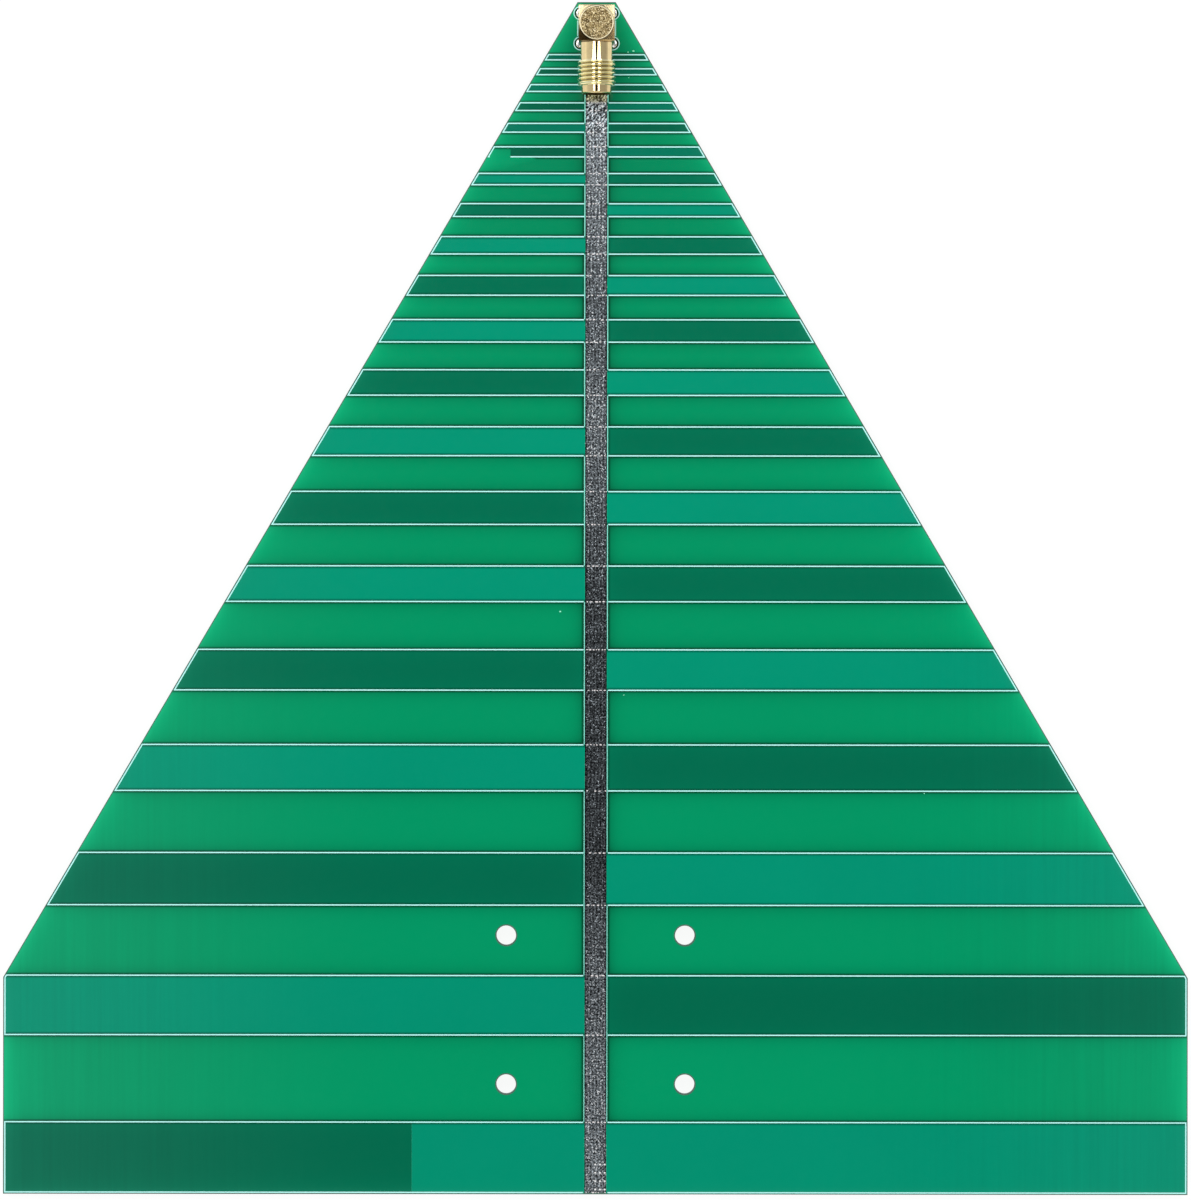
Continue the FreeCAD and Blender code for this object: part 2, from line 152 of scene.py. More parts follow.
def grid_patch(x: np.ndarray, y: np.ndarray, z: np.ndarray) -> Patch:
    """Quads over a grid of points: face (i, j) joins rows i and i + 1, columns j and j + 1.

    Args:
        x: X of each grid point, rows by columns.
        y: Y of each grid point.
        z: Z of each grid point.

    Returns:
        The patch, facing up where X grows with the column and Y with the row.
    """
    rows, columns = x.shape
    index = np.arange(rows * columns).reshape(rows, columns)
    corners = (index[:-1, :-1], index[:-1, 1:], index[1:, 1:], index[1:, :-1])
    return quad_patch(x, y, z, corners)


def turned_over(faces: Sequence[tuple[int, ...]]) -> list[tuple[int, ...]]:
    """The same faces, facing the other way."""
    return [tuple(reversed(face)) for face in faces]


def open_edges(faces: Sequence[tuple[int, ...]]) -> list[tuple[int, int]]:
    """Edges that only one face uses, each in the direction that its face runs."""
    seen: dict[tuple[int, int], int] = {}
    runs = []
    for face in faces:
        for a, b in zip(face, face[1:] + face[:1]):
            key = (min(a, b), max(a, b))
            seen[key] = seen.get(key, 0) + 1
            runs.append((a, b))
    return [(a, b) for a, b in runs if seen[(min(a, b), max(a, b))] == 1]


def closed_down(patch: Patch, floor: float) -> Patch:
    """A closed shell: the patch, its copy turned over at one height, and walls between them.

    Args:
        patch: the upper surface, facing up.
        floor: Z of the flat underside.

    Returns:
        The shell, facing outwards.
    """
    count = len(patch.points)
    under = patch.points.copy()
    under[:, 2] = floor
    faces = list(patch.faces)
    faces += [tuple(count + i for i in reversed(face)) for face in patch.faces]
    faces += [(b, a, count + a, count + b) for a, b in open_edges(patch.faces)]
    return Patch(np.vstack([patch.points, under]), faces)


def joined(patches: Iterable[Patch]) -> Patch:
    """Several patches as one, with their point numbers shifted."""
    points, faces, start = [], [], 0
    for patch in patches:
        points.append(patch.points)
        faces += [tuple(start + i for i in face) for face in patch.faces]
        start += len(patch.points)
    return Patch(np.vstack(points), faces)


def lathe(radius: np.ndarray, along: np.ndarray, turns: int) -> Patch:
    """A closed loop of profile points carried round the Z axis.

    Args:
        radius: distance from the axis of each profile point, or one row for each
            profile point and one column for each step round.
        along: height of each profile point.
        turns: steps round the axis.

    Returns:
        The patch, each point at (radius cos a, radius sin a, height).
    """
    angle = np.arange(turns) * (2 * math.pi / turns)
    reach = np.broadcast_to(radius.reshape(len(along), -1), (len(along), turns))
    x, y = reach * np.cos(angle), reach * np.sin(angle)
    z = np.broadcast_to(along[:, None], x.shape)
    rows, columns = x.shape
    index = np.arange(rows * columns).reshape(rows, columns)
    after = np.roll(index, -1, axis=1)
    return quad_patch(x, y, z, (index[:-1], after[:-1], after[1:], index[1:]))


def rounded_box(low: np.ndarray, high: np.ndarray, radius: float, steps: int = 4) -> Patch:
    """A box with round edges: each point of a box grid is drawn onto an inner box and
    pushed out again along the line between the two by the radius.

    Args:
        low: lowest corner.
        high: highest corner.
        radius: radius of every edge.
        steps: rows of points round each edge's quarter turn.

    Returns:
        The closed patch, with doubled points where its six faces meet.
    """
    centre, half = (low + high) / 2, (high - low) / 2
    bend = np.tan(np.linspace(0, math.pi / 4, steps + 1)[1:])
    patches = []
    for axis in range(3):
        u, v = (axis + 1) % 3, (axis + 2) % 3
        lines = []
        for k in (u, v):
            flat = half[k] - radius
            lines.append(np.concatenate([-flat - radius * bend[::-1], [-flat, flat],
                                         flat + radius * bend]))
        grid_u, grid_v = np.meshgrid(lines[0], lines[1])
        for sign in (-1.0, 1.0):
            cube = np.zeros(grid_u.shape + (3,))
            cube[..., u], cube[..., v] = grid_u, grid_v
            cube[..., axis] = sign * half[axis]
            inner = np.clip(cube, radius - half, half - radius)
            outwards = cube - inner
            outwards /= np.linalg.norm(outwards, axis=-1, keepdims=True)
            shape = centre + inner + radius * outwards
            patch = grid_patch(shape[..., 0], shape[..., 1], shape[..., 2])
            if sign < 0:
                patch.faces = turned_over(patch.faces)
            patches.append(patch)
    return joined(patches)


def make_object(name: str, patch: Patch, smooth: float = 0.0, merge: bool = False,
                turn_out: bool = False) -> bpy.types.Object:
    """A mesh object at the origin that rides on the board.

    Args:
        name: the piece's name.
        patch: its points in millimetres, and its faces.
        smooth: edges flatter than this many degrees are shaded smooth; 0 shades flat.
        merge: whether points that lie on each other become one.
        turn_out: whether the faces are turned to point outwards.

    Returns:
        The new object.
    """
    mesh = bpy.data.meshes.new(name)
    mesh.from_pydata((patch.points * MM).tolist(), [], patch.faces)
    if merge or turn_out:
        shape = bmesh.new()
        shape.from_mesh(mesh)
        if merge:
            bmesh.ops.remove_doubles(shape, verts=shape.verts, dist=2e-7)
            bmesh.ops.dissolve_degenerate(shape, edges=shape.edges, dist=1e-8)
        if turn_out:
            bmesh.ops.recalc_face_normals(shape, faces=shape.faces)
        shape.to_mesh(mesh)
        shape.free()
    mesh.validate()
    thing = bpy.data.objects.new(name, mesh)
    bpy.context.scene.collection.objects.link(thing)
    if smooth > 0:
        mesh.polygons.foreach_set("use_smooth", np.ones(len(mesh.polygons), bool))
        mesh.set_sharp_from_angle(angle=math.radians(smooth))
    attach(thing, BODY)
    LOG.info("%s: %d points, %d faces", name, len(mesh.vertices), len(mesh.polygons))
    return thing


def write_attribute(thing: bpy.types.Object, name: str, values: np.ndarray) -> None:
    """Stores one number for each point of a mesh under a name that a material reads."""
    store = thing.data.attributes.new(name, "FLOAT", "POINT")
    store.data.foreach_set("value", values.astype(np.float32))


def mesh_points(thing: bpy.types.Object) -> np.ndarray:
    """Every point of an object's mesh, in millimetres."""
    flat = np.zeros(len(thing.data.vertices) * 3, np.float32)
    thing.data.vertices.foreach_get("co", flat)
    return flat.reshape(-1, 3).astype(float) / MM


# Shader nodes


def fill_ramp(ramp: bpy.types.ColorRamp, stops: Sequence[Pair]) -> None:
    """Gives a new ramp, which has two stops, one stop for each position and grey."""
    for index, (position, grey) in enumerate(stops):
        point = ramp.elements[index] if index < 2 else ramp.elements.new(position)
        point.position = position
        point.color = (grey, grey, grey, 1.0)


class Shader:
    """Short ways to add and join the nodes of one material."""

    def __init__(self, name: str) -> None:
        """Makes the material with its one Principled shader."""
        self.material = bpy.data.materials.new(name)
        self.material.use_nodes = True
        self.tree = self.material.node_tree
        self.principled = self.tree.nodes["Principled BSDF"]
        coordinates = self.tree.nodes.new("ShaderNodeTexCoord")
        self.place = self._vector("SCALE", coordinates.outputs["Object"], scale=1 / MM)

    def _fill(self, socket: bpy.types.NodeSocket, value: object) -> None:
        """Links a socket to another, or sets its plain value."""
        if isinstance(value, bpy.types.NodeSocket):
            self.tree.links.new(value, socket)
        elif value is not None:
            socket.default_value = value

    def _vector(self, operation: str, vector: object, other: object = None,
                scale: object = None) -> bpy.types.NodeSocket:
        """One step of vector arithmetic."""
        node = self.tree.nodes.new("ShaderNodeVectorMath")
        node.operation = operation
        self._fill(node.inputs[0], vector)
        self._fill(node.inputs[1], other)
        if scale is not None:
            self._fill(node.inputs["Scale"], scale)
        return node.outputs[0]

    def stretch(self, x: float, y: float, z: float, vector: object = None) -> bpy.types.NodeSocket:
        """The place in millimetres times one factor for each axis."""
        return self._vector("MULTIPLY", self.place if vector is None else vector, (x, y, z))

    def turned(self, degrees: float, along: float, across: float) -> bpy.types.NodeSocket:
        """The place turned about Z and then stretched, for streaks that lie aslant."""
        node = self.tree.nodes.new("ShaderNodeVectorRotate")
        node.rotation_type = "Z_AXIS"
        self._fill(node.inputs["Vector"], self.place)
        node.inputs["Angle"].default_value = math.radians(-degrees)
        return self.stretch(along, across, 1.0, node.outputs[0])

    def axis(self, name: str) -> bpy.types.NodeSocket:
        """X, Y or Z of the place, in millimetres."""
        node = self.tree.nodes.new("ShaderNodeSeparateXYZ")
        self._fill(node.inputs[0], self.place)
        return node.outputs[name]

    def number(self, operation: str, *values: object) -> bpy.types.NodeSocket:
        """One step of arithmetic on numbers."""
        node = self.tree.nodes.new("ShaderNodeMath")
        node.operation = operation
        for socket, value in zip(node.inputs, values):
            self._fill(socket, value)
        return node.outputs[0]

    def product(self, first: object, *others: object) -> bpy.types.NodeSocket:
        """The product of two numbers or more."""
        for other in others:
            first = self.number("MULTIPLY", first, other)
        return first

    def stored(self, name: str) -> bpy.types.NodeSocket:
        """A number that the mesh holds for each point."""
        node = self.tree.nodes.new("ShaderNodeAttribute")
        node.attribute_name = name
        return node.outputs["Fac"]

    def fade(self, distance: object, reach: float) -> bpy.types.NodeSocket:
        """1 at no distance, and smaller by a factor e for each reach further."""
        return self.number("EXPONENT", self.number("DIVIDE", distance, -reach))

    def step(self, value: object, start: float, end: float, low: float = 0.0,
             high: float = 1.0) -> bpy.types.NodeSocket:
        """A smooth step from low at start to high at end."""
        node = self.tree.nodes.new("ShaderNodeMapRange")
        node.interpolation_type = "SMOOTHSTEP"
        for socket, number in zip(node.inputs, (value, start, end, low, high)):
            self._fill(socket, number)
        return node.outputs[0]

    def band(self, value: object, span: Pair, soft: float) -> bpy.types.NodeSocket:
        """1 inside a span and 0 outside it, with both ends soft by so much each way."""
        rise, fall = (self.step(value, end - soft, end + soft) for end in span)
        return self.number("SUBTRACT", rise, fall)

    def noise(self, scale: float, detail: float = 2.0, rough: float = 0.5,
              vector: object = None) -> bpy.types.NodeSocket:
        """Cloudy noise from 0 to 1 with that many blobs a millimetre."""
        node = self.tree.nodes.new("ShaderNodeTexNoise")
        self._fill(node.inputs["Vector"], self.place if vector is None else vector)
        node.inputs["Scale"].default_value = scale
        node.inputs["Detail"].default_value = detail
        node.inputs["Roughness"].default_value = rough
        return node.outputs["Fac"]

    def cells(self, scale: float) -> bpy.types.NodeSocket:
        """Distance to the nearest of scattered points, with that many a millimetre."""
        node = self.tree.nodes.new("ShaderNodeTexVoronoi")
        self._fill(node.inputs["Vector"], self.place)
        node.inputs["Scale"].default_value = scale
        return node.outputs["Distance"]

    def ramp(self, value: object, stops: Sequence[Pair]) -> bpy.types.NodeSocket:
        """A grey that goes through the given values between the given positions."""
        node = self.tree.nodes.new("ShaderNodeValToRGB")
        fill_ramp(node.color_ramp, stops)
        self._fill(node.inputs[0], value)
        return node.outputs["Color"]

    def mix(self, share: object, first: object, second: object,
            blend: str = "MIX") -> bpy.types.NodeSocket:
        """A colour between two, or the second laid on the first in another way."""
        node = self.tree.nodes.new("ShaderNodeMix")
        node.data_type = "RGBA"
        node.blend_type = blend
        self._fill(node.inputs[0], share)
        for socket, value in ((node.inputs[6], first), (node.inputs[7], second)):
            is_plain = isinstance(value, tuple) and len(value) == 3
            self._fill(socket, value + (1.0,) if is_plain else value)
        return node.outputs[2]

    def scaled(self, colour: object, factor: object) -> bpy.types.NodeSocket:
        """A colour times a number."""
        return self._vector("SCALE", colour, scale=factor)

    def relief(self, height: object, depth: float, under: object = None) -> bpy.types.NodeSocket:
        """A bump of that many millimetres for a height from 0 to 1."""
        node = self.tree.nodes.new("ShaderNodeBump")
        node.inputs["Distance"].default_value = depth * MM
        self._fill(node.inputs["Height"], height)
        self._fill(node.inputs["Normal"], under)
        return node.outputs[0]

    def weave(self, pitch_x: float, pitch_y: float) -> bpy.types.NodeSocket:
        """The crowns of a plain weave, from 0 to 1: the mean of one wave along X and a
        weaker one along Y."""
        drift, weaker, size = 1.5, 0.35, 0.37
        wobble = self.noise(0.05, 1.0)
        waves = []
        for axis, pitch in (("X", pitch_x), ("Y", pitch_y)):
            shifted = self.number("MULTIPLY_ADD", wobble, drift, self.axis(axis))
            turns = self.number("MULTIPLY", shifted, 2 * math.pi / pitch)
            waves.append(self.number("SINE", turns))
        total = self.number("MULTIPLY_ADD", waves[1], weaker, waves[0])
        return self.number("MULTIPLY_ADD", total, size, 0.5)

    def finish(self, **sockets: object) -> bpy.types.Material:
        """Sets the Principled shader's sockets by name, with _ for a space."""
        names = {socket.name.lower().replace(" ", "_"): socket
                 for socket in self.principled.inputs}
        for name, value in sockets.items():
            if isinstance(value, tuple) and len(value) == 3:
                value = value + (1.0,)
            self._fill(names[name], value)
        return self.material


@dataclass(frozen=True)
class LacquerFinish:
    """Green lacquer with painted light: light leaking in from the board's rim, painted
    light and shade beside the foil and the line, painted shade round the pads, and a
    painted reflection haze and streaks.

    Each gain is a share of the plain light, each reach a distance in millimetres over
    which it fades, and each span two places or distances between which the look
    changes.
    """

    name: str
    colour: Colour
    # painted light leaking in from the rim, and painted light and shade beside foil and line
    rim_gain: float = 0.0
    rim_reach: float = 1.3
    far_rim_gain: float = 0.0
    far_rim_reach: float = 8.0
    edge_gain: float = 0.0
    edge_reach: float = 1.3
    line_gain: float = 0.0
    line_reach: float = 2.0
    line_flank: bool = True
    # painted shade on the flanks of the foil and round the pads
    flank: float = 0.5
    flank_span: Pair = (0.22, 0.60)
    pad_shade: float = 0.12
    pad_span: Pair = (0.16, 0.40)
    tip_gain: float = 0.0
    tip_span: Pair = (-25.0, 95.0)
    narrow_gain: float = 0.0
    narrow_span: Pair = (151.0, 161.0)
    # painted reflection streaks across the weave, far out
    streaks: float = 0.22
    streaks_span: Pair = (35.0, 95.0)
    # painted reflection haze to the left and right and along the rim
    left_haze: float = 0.008
    left_haze_span: Pair = (-30.0, -105.0)
    right_haze: float = 0.004
    right_haze_span: Pair = (55.0, 105.0)
    rim_haze: float = 0.012
    rim_haze_reach: float = 0.55
    haze_colour: Colour = (0.9, 1.3, 1.8)
    cloud: float = 0.05
    roughness: float = 0.16

    def material(self) -> bpy.types.Material:
        """The colour with its painted light and shade, under a pale painted reflection haze,
        over the relief of the weave.
        """
        shader = Shader(self.name)
        grain = shader.noise(0.8, 3.0, 0.6)
        light = shader.product(self._painted_light_beside_foil(shader), self._mottle(shader, grain),
                               self._by_place(shader))
        base = shader.mix(self._painted_haze(shader), shader.scaled(self.colour, light),
                          self.haze_colour)
        rough = shader.number("MULTIPLY_ADD", grain, 0.08, self.roughness - 0.04)
        bump = shader.relief(shader.weave(0.62, 0.79), 0.0016)
        bump = shader.relief(shader.noise(0.6, 2.0), 0.0012, bump)
        return shader.finish(base_color=base, roughness=rough, specular_ior_level=0.35,
                             normal=bump)

    def _painted_light_beside_foil(self, shader: Shader) -> bpy.types.NodeSocket:
        """Painted light and shade: 1 + gain x exp(-distance / reach) for rim, foil and line,
        with painted shade on the flanks of the foil and round the pads."""
        rim, edge, line = (shader.stored(name) for name in ("rim_mm", "edge_mm", "line_mm"))
        light: object = 1.0
        for distance, reach, gain in ((rim, self.rim_reach, self.rim_gain),
                                      (rim, self.far_rim_reach, self.far_rim_gain),
                                      (edge, self.edge_reach, self.edge_gain),
                                      (line, self.line_reach, self.line_gain)):
            light = shader.number("MULTIPLY_ADD", shader.fade(distance, reach), gain, light)
        near = edge
        if self.line_flank:
            near = shader.number("MINIMUM", edge, shader.number("ADD", line, 0.05))
        # painted shade on the foil's flanks and round the pads
        flank = shader.step(near, *self.flank_span, self.flank, 1.0)
        pad = shader.step(shader.stored("pad_mm"), *self.pad_span, self.pad_shade, 1.0)
        return shader.product(light, flank, pad)

    def _mottle(self, shader: Shader, grain: bpy.types.NodeSocket) -> bpy.types.NodeSocket:
        """Wide faint clouds and a fine grain, about 1."""
        clouds = shader.number("SUBTRACT", shader.noise(0.035, 3.0, 0.55), 0.5)
        return shader.number("MULTIPLY_ADD", clouds, self.cloud,
                             shader.number("MULTIPLY_ADD", grain, 0.02, 0.99))

    def _by_place(self, shader: Shader) -> bpy.types.NodeSocket:
        """Paler towards the tip and beside the barrel, with painted reflection streaks across
        the weave that show far out."""
        y = shader.axis("Y")
        tip = shader.step(y, *self.tip_span, 1.0, 1.0 + self.tip_gain)
        narrow = shader.number("MULTIPLY_ADD", shader.band(y, self.narrow_span, 1.0),
                               self.narrow_gain, 1.0)
        # painted reflection streaks, stronger far out
        outward = shader.step(shader.number("ABSOLUTE", shader.axis("X")), *self.streaks_span,
                              0.0, self.streaks)
        threads = shader.noise(1.0, 2.0, 0.6, shader.stretch(1.5, 0.035, 1.0))
        threads = shader.number("SUBTRACT", threads, 0.5)
        return shader.product(tip, narrow,
                              shader.number("MULTIPLY_ADD", threads, outward, 1.0))

    def _painted_haze(self, shader: Shader) -> bpy.types.NodeSocket:
        """Share of the painted reflection haze: more to the far left and right and along the
        rim.
        """
        left = shader.step(shader.axis("X"), *self.left_haze_span, 0.0, self.left_haze)
        right = shader.step(shader.axis("X"), *self.right_haze_span, 0.0, self.right_haze)
        rim = shader.fade(shader.stored("rim_mm"), self.rim_haze_reach)
        return shader.number("MULTIPLY_ADD", rim, self.rim_haze,
                             shader.number("ADD", left, right))


@dataclass(frozen=True)
class MetalFinish:
    """Plated or bare metal with a fine grain."""

    name: str
    colour: Colour
    roughness: float
    tint: float = 0.12
    grain: float = 4.0
    grain_depth: float = 0.002

    def material(self) -> bpy.types.Material:
        """Metal whose colour and roughness follow one noise and whose relief is another."""
        shader = Shader(self.name)
        cloud = shader.noise(self.grain / 4, 3.0, 0.6)
        light = shader.number("MULTIPLY_ADD", cloud, self.tint, 1 - self.tint / 2)
        rough = shader.number("MULTIPLY_ADD", cloud, 0.15, self.roughness - 0.07)
        bump = shader.relief(shader.noise(self.grain, 4.0, 0.6), self.grain_depth)
        return shader.finish(base_color=shader.scaled(self.colour, light), metallic=1.0,
                             roughness=rough, normal=bump)


@dataclass(frozen=True)
class TurnedFinish:
    """Turned gold, paler over the thread as a painted highlight, with painted shade in its
    grooves and a flat darkening over the nose.
    """

    name: str = "turned_gold"
    colour: Colour = srgb(230, 208, 156)
    # painted highlight: the paler gold laid over the thread
    crest_highlight: Colour = srgb(255, 244, 196)
    # painted shade: a dark colour mixed in by groove depth, where shade falls in the thread
    shade_colour: Colour = srgb(98, 76, 36)
    shade_share: float = 0.58
    roughness: float = 0.08

    def material(self) -> bpy.types.Material:
        """Gold, painted paler over the thread as a highlight, mixed with a dark colour by the
        stored groove depth as painted shade, with fine marks round the axis."""
        shader = Shader(self.name)
        cloud = shader.noise(1.2, 3.0, 0.6)
        marks = shader.noise(1.0, 3.0, 0.6, shader.stretch(0.5, 16.0, 0.5))
        light = shader.number("MULTIPLY_ADD", cloud, 0.3, 0.83)
        # painted highlight: paler gold where the stored thread mark is 1
        gold = shader.mix(shader.stored("thread"), self.colour, self.crest_highlight)
        share = shader.number("MULTIPLY", shader.stored("groove"), self.shade_share)
        # painted shade in the grooves, and a flat darkening over the nose
        base = shader.mix(share, shader.scaled(gold, light), self.shade_colour)
        rough = shader.number("MULTIPLY_ADD", marks, 0.08, self.roughness - 0.04)
        bump = shader.relief(marks, 0.0012)
        return shader.finish(base_color=base, metallic=1.0, roughness=rough, normal=bump)


@dataclass(frozen=True)
class TinFinish:
    """Dull tin over woven laminate, grainy, with painted light in its colour: a painted
    reflection that is dark grey along the middle of the line and paler at both ends,
    a painted shadow along its edges, painted glints and a painted highlight over each
    crown of the weave. Under the jack it has slanting streaks of painted reflection,
    and the jack's gold is painted in as a reflection from the mouth on."""

    name: str = "dull_tin"
    # painted reflection: the tin's grey at each place along Y
    reflected_greys: tuple[tuple[float, float], ...] = (
        (-31.0, 0.33), (-15.0, 0.32), (5.0, 0.21), (14.0, 0.17), (21.0, 0.115), (25.0, 0.08),
        (31.0, 0.095), (60.0, 0.10), (72.0, 0.11), (79.0, 0.15), (86.0, 0.20), (101.0, 0.24),
        (110.0, 0.18), (119.0, 0.17), (131.0, 0.22), (142.0, 0.29), (152.0, 0.36),
        (162.0, 0.62))
    tint: Colour = (0.94, 1.06, 1.15)
    # painted reflection of the jack's gold, from its mouth on
    gold_reflection_tint: Colour = (2.0, 1.62, 0.95)
    mouth_y: float = 153.3
    gold_span: Pair = (-1.1, -0.4)
    shade: float = 0.08
    grain_gain: float = 0.72
    # painted highlights: glints, and pale spots on the crowns of the weave
    glint_gain: float = 4.4
    crown_highlight_gain: float = 0.95
    blotch: Pair = (0.50, 1.40)
    # painted reflection streaks near the jack
    streaks_from: float = 142.0
    streaks_l: float = 8.0
    streaks_turn: float = 52.0
    streaks_shade: float = 0.22
    streaks_gain: float = 2.7
    # painted shadow along both edges of the line
    edge_x: Pair = (1.62, 1.88)
    edge_shadow_soft: float = 0.06
    edge_loss: float = 0.68
    roughness: float = 0.34
    weave_pitch: float = 0.58

    def material(self) -> bpy.types.Material:
        """Painted reflection grey by place along Y, times grain, painted glints and weave
        highlights, a painted edge shadow and painted reflection streaks, over a lumpy relief.
        """
        shader = Shader(self.name)
        grain = shader.step(shader.noise(3.0, 3.0, 0.75), 0.34, 0.66)
        light = shader.product(self._speckle(shader, grain), self._edge(shader),
                               self._reflection_streaks(shader))
        bump = shader.relief(shader.noise(3.0, 4.0, 0.7), 0.02)
        rough = shader.number("MULTIPLY_ADD", grain, 0.2, self.roughness - 0.10)
        return shader.finish(base_color=shader.scaled(self._tinted(shader), light), metallic=1.0,
                             roughness=rough, normal=bump)

    def _tinted(self, shader: Shader) -> bpy.types.NodeSocket:
        """The grey at each place along the line, a painted reflection, with the jack's gold
        painted in as a reflection from its mouth on.
        """
        first, last = self.reflected_greys[0][0], self.reflected_greys[-1][0]
        along = shader.number("DIVIDE", shader.number("SUBTRACT", shader.axis("Y"), first),
                              last - first)
        stops = [((y - first) / (last - first), value) for y, value in self.reflected_greys]
        grey = shader.mix(1.0, shader.ramp(along, stops), self.tint, "MULTIPLY")
        # painted reflection of the jack's gold
        gold_reflected = shader.mix(1.0, grey, self.gold_reflection_tint, "MULTIPLY")
        start, end = (self.mouth_y + place for place in self.gold_span)
        under_mouth = shader.step(shader.axis("Y"), start, end)
        return shader.mix(under_mouth, grey, gold_reflected)

    def _speckle(self, shader: Shader, grain: bpy.types.NodeSocket) -> bpy.types.NodeSocket:
        """Grain, with painted glints and painted highlights on the crowns of the weave, in
        longish blotches.
        """
        # painted highlights: glints, and pale spots on the crowns of the weave
        glints = shader.step(shader.noise(4.6, 2.0, 0.5), 0.60, 0.68)
        crowns = shader.step(shader.weave(self.weave_pitch, self.weave_pitch), 0.66, 0.98)
        blotches = shader.noise(1.0, 3.0, 0.7, shader.stretch(3.0, 1.2, 1.0))
        light: object = self.shade
        for part, gain in ((grain, self.grain_gain), (glints, self.glint_gain),
                           (crowns, self.crown_highlight_gain)):
            light = shader.number("MULTIPLY_ADD", part, gain, light)
        return shader.product(light, shader.step(blotches, 0.25, 0.75, *self.blotch))

    def _edge(self, shader: Shader) -> bpy.types.NodeSocket:
        """1, and a painted shadow along both edges of the line."""
        beside = shader.number("ABSOLUTE", shader.axis("X"))
        return shader.number("MULTIPLY_ADD", shader.band(beside, self.edge_x, self.edge_shadow_soft),
                             -self.edge_loss, 1.0)

    def _reflection_streaks(self, shader: Shader) -> bpy.types.NodeSocket:
        """1 along the line, and slanting streaks of painted reflection near the jack."""
        near_jack = shader.step(shader.axis("Y"), self.streaks_from,
                                self.streaks_from + self.streaks_l)
        slanting = shader.noise(1.0, 2.0, 0.5, shader.turned(self.streaks_turn, 1.5, 3.6))
        contrast = shader.number("MULTIPLY_ADD", shader.step(slanting, 0.44, 0.58),
                                 self.streaks_gain, self.streaks_shade)
        return shader.mix(near_jack, (1.0, 1.0, 1.0), contrast)


@dataclass(frozen=True)
class BlockFinish:
    """Gold block with painted light: full gold towards the tip, painted shade towards the
    barrel, darker on the left than the right, and a painted shadow round the cap.
    """

    centre_y: float
    cap_r: float
    name: str = "block_gold"
    colour: Colour = srgb(240, 222, 176)
    # painted shade: the dark colour of the barrel-side corner on the left; the right's is tan
    shade_brown: Colour = srgb(78, 60, 34)
    tan: Colour = srgb(196, 168, 118)
    side_span: Pair = (-1.2, 1.2)
    gold_span: Pair = (-1.5, 0.4)
    cap_shade: float = 0.45
    cap_shade_w: float = 0.34

    def material(self) -> bpy.types.Material:
        """Gold mixed with painted shade by place on the block, and a painted shadow close to
        the cap.
        """
        shader = Shader(self.name)
        x = shader.axis("X")
        y = shader.number("SUBTRACT", shader.axis("Y"), self.centre_y)
        # painted shade towards the barrel, darker on the left
        low = shader.mix(shader.step(x, *self.side_span), self.shade_brown, self.tan)
        base = shader.mix(shader.step(y, *self.gold_span), low, self.colour)
        reach = shader.number("SQRT", shader.number("MULTIPLY_ADD", x, x,
                                                    shader.number("MULTIPLY", y, y)))
        # painted shadow round the cap
        rim = shader.step(reach, self.cap_r - 0.02, self.cap_r + self.cap_shade_w,
                          self.cap_shade, 1.0)
        cloud = shader.noise(1.4, 3.0, 0.65)
        light = shader.product(rim, shader.number("MULTIPLY_ADD", cloud, 0.3, 0.85))
        bump = shader.relief(shader.noise(3.0, 3.0, 0.6), 0.002)
        return shader.finish(base_color=shader.scaled(base, light), metallic=1.0,
                             roughness=0.22, normal=bump)


@dataclass(frozen=True)
class CastFinish:
    """The cap's rough gold face: sharp pits and crumbs, a few with painted glints."""

    name: str = "rough_gold"
    colour: Colour = srgb(194, 172, 122)
    dark: Colour = srgb(72, 54, 28)
    # painted highlight: the colour of a few glinting crumbs
    glint_colour: Colour = srgb(255, 248, 214)

    def material(self) -> bpy.types.Material:
        """Two golds by crumb, a few facets painted as glints, over cell and noise relief."""
        shader = Shader(self.name)
        crumbs = shader.step(shader.noise(5.5, 2.0, 0.6), 0.28, 0.72)
        cloud = shader.noise(1.3, 4.0, 0.8)
        total = shader.number("MULTIPLY_ADD", cloud, 1.3, shader.number("MULTIPLY", crumbs, 0.75))
        share = shader.step(total, 0.66, 1.34)
        base = shader.mix(share, self.dark, self.colour)
        # painted glints on a few crumbs
        base = shader.mix(shader.step(crumbs, 0.80, 0.97), base, self.glint_colour)
        bump = shader.relief(shader.cells(6.5), 0.06)
        bump = shader.relief(shader.noise(5.0, 3.0, 0.7), 0.05, bump)
        return shader.finish(base_color=base, metallic=1.0, roughness=0.36, normal=bump)


@dataclass(frozen=True)
class InkFinish:
    """White printed ink, a little green from the lacquer under it."""

    name: str = "white_print"
    colour: Colour = srgb(188, 255, 250)
    roughness: float = 0.55

    def material(self) -> bpy.types.Material:
        """Ink whose thickness, and so whose paleness, varies along the line."""
        shader = Shader(self.name)
        thin = shader.step(shader.noise(0.9, 4.0, 0.65), 0.25, 0.75, 0.95, 1.0)
        bump = shader.relief(shader.noise(6.0, 3.0), 0.003)
        return shader.finish(base_color=shader.scaled(self.colour, thin),
                             roughness=self.roughness, normal=bump)


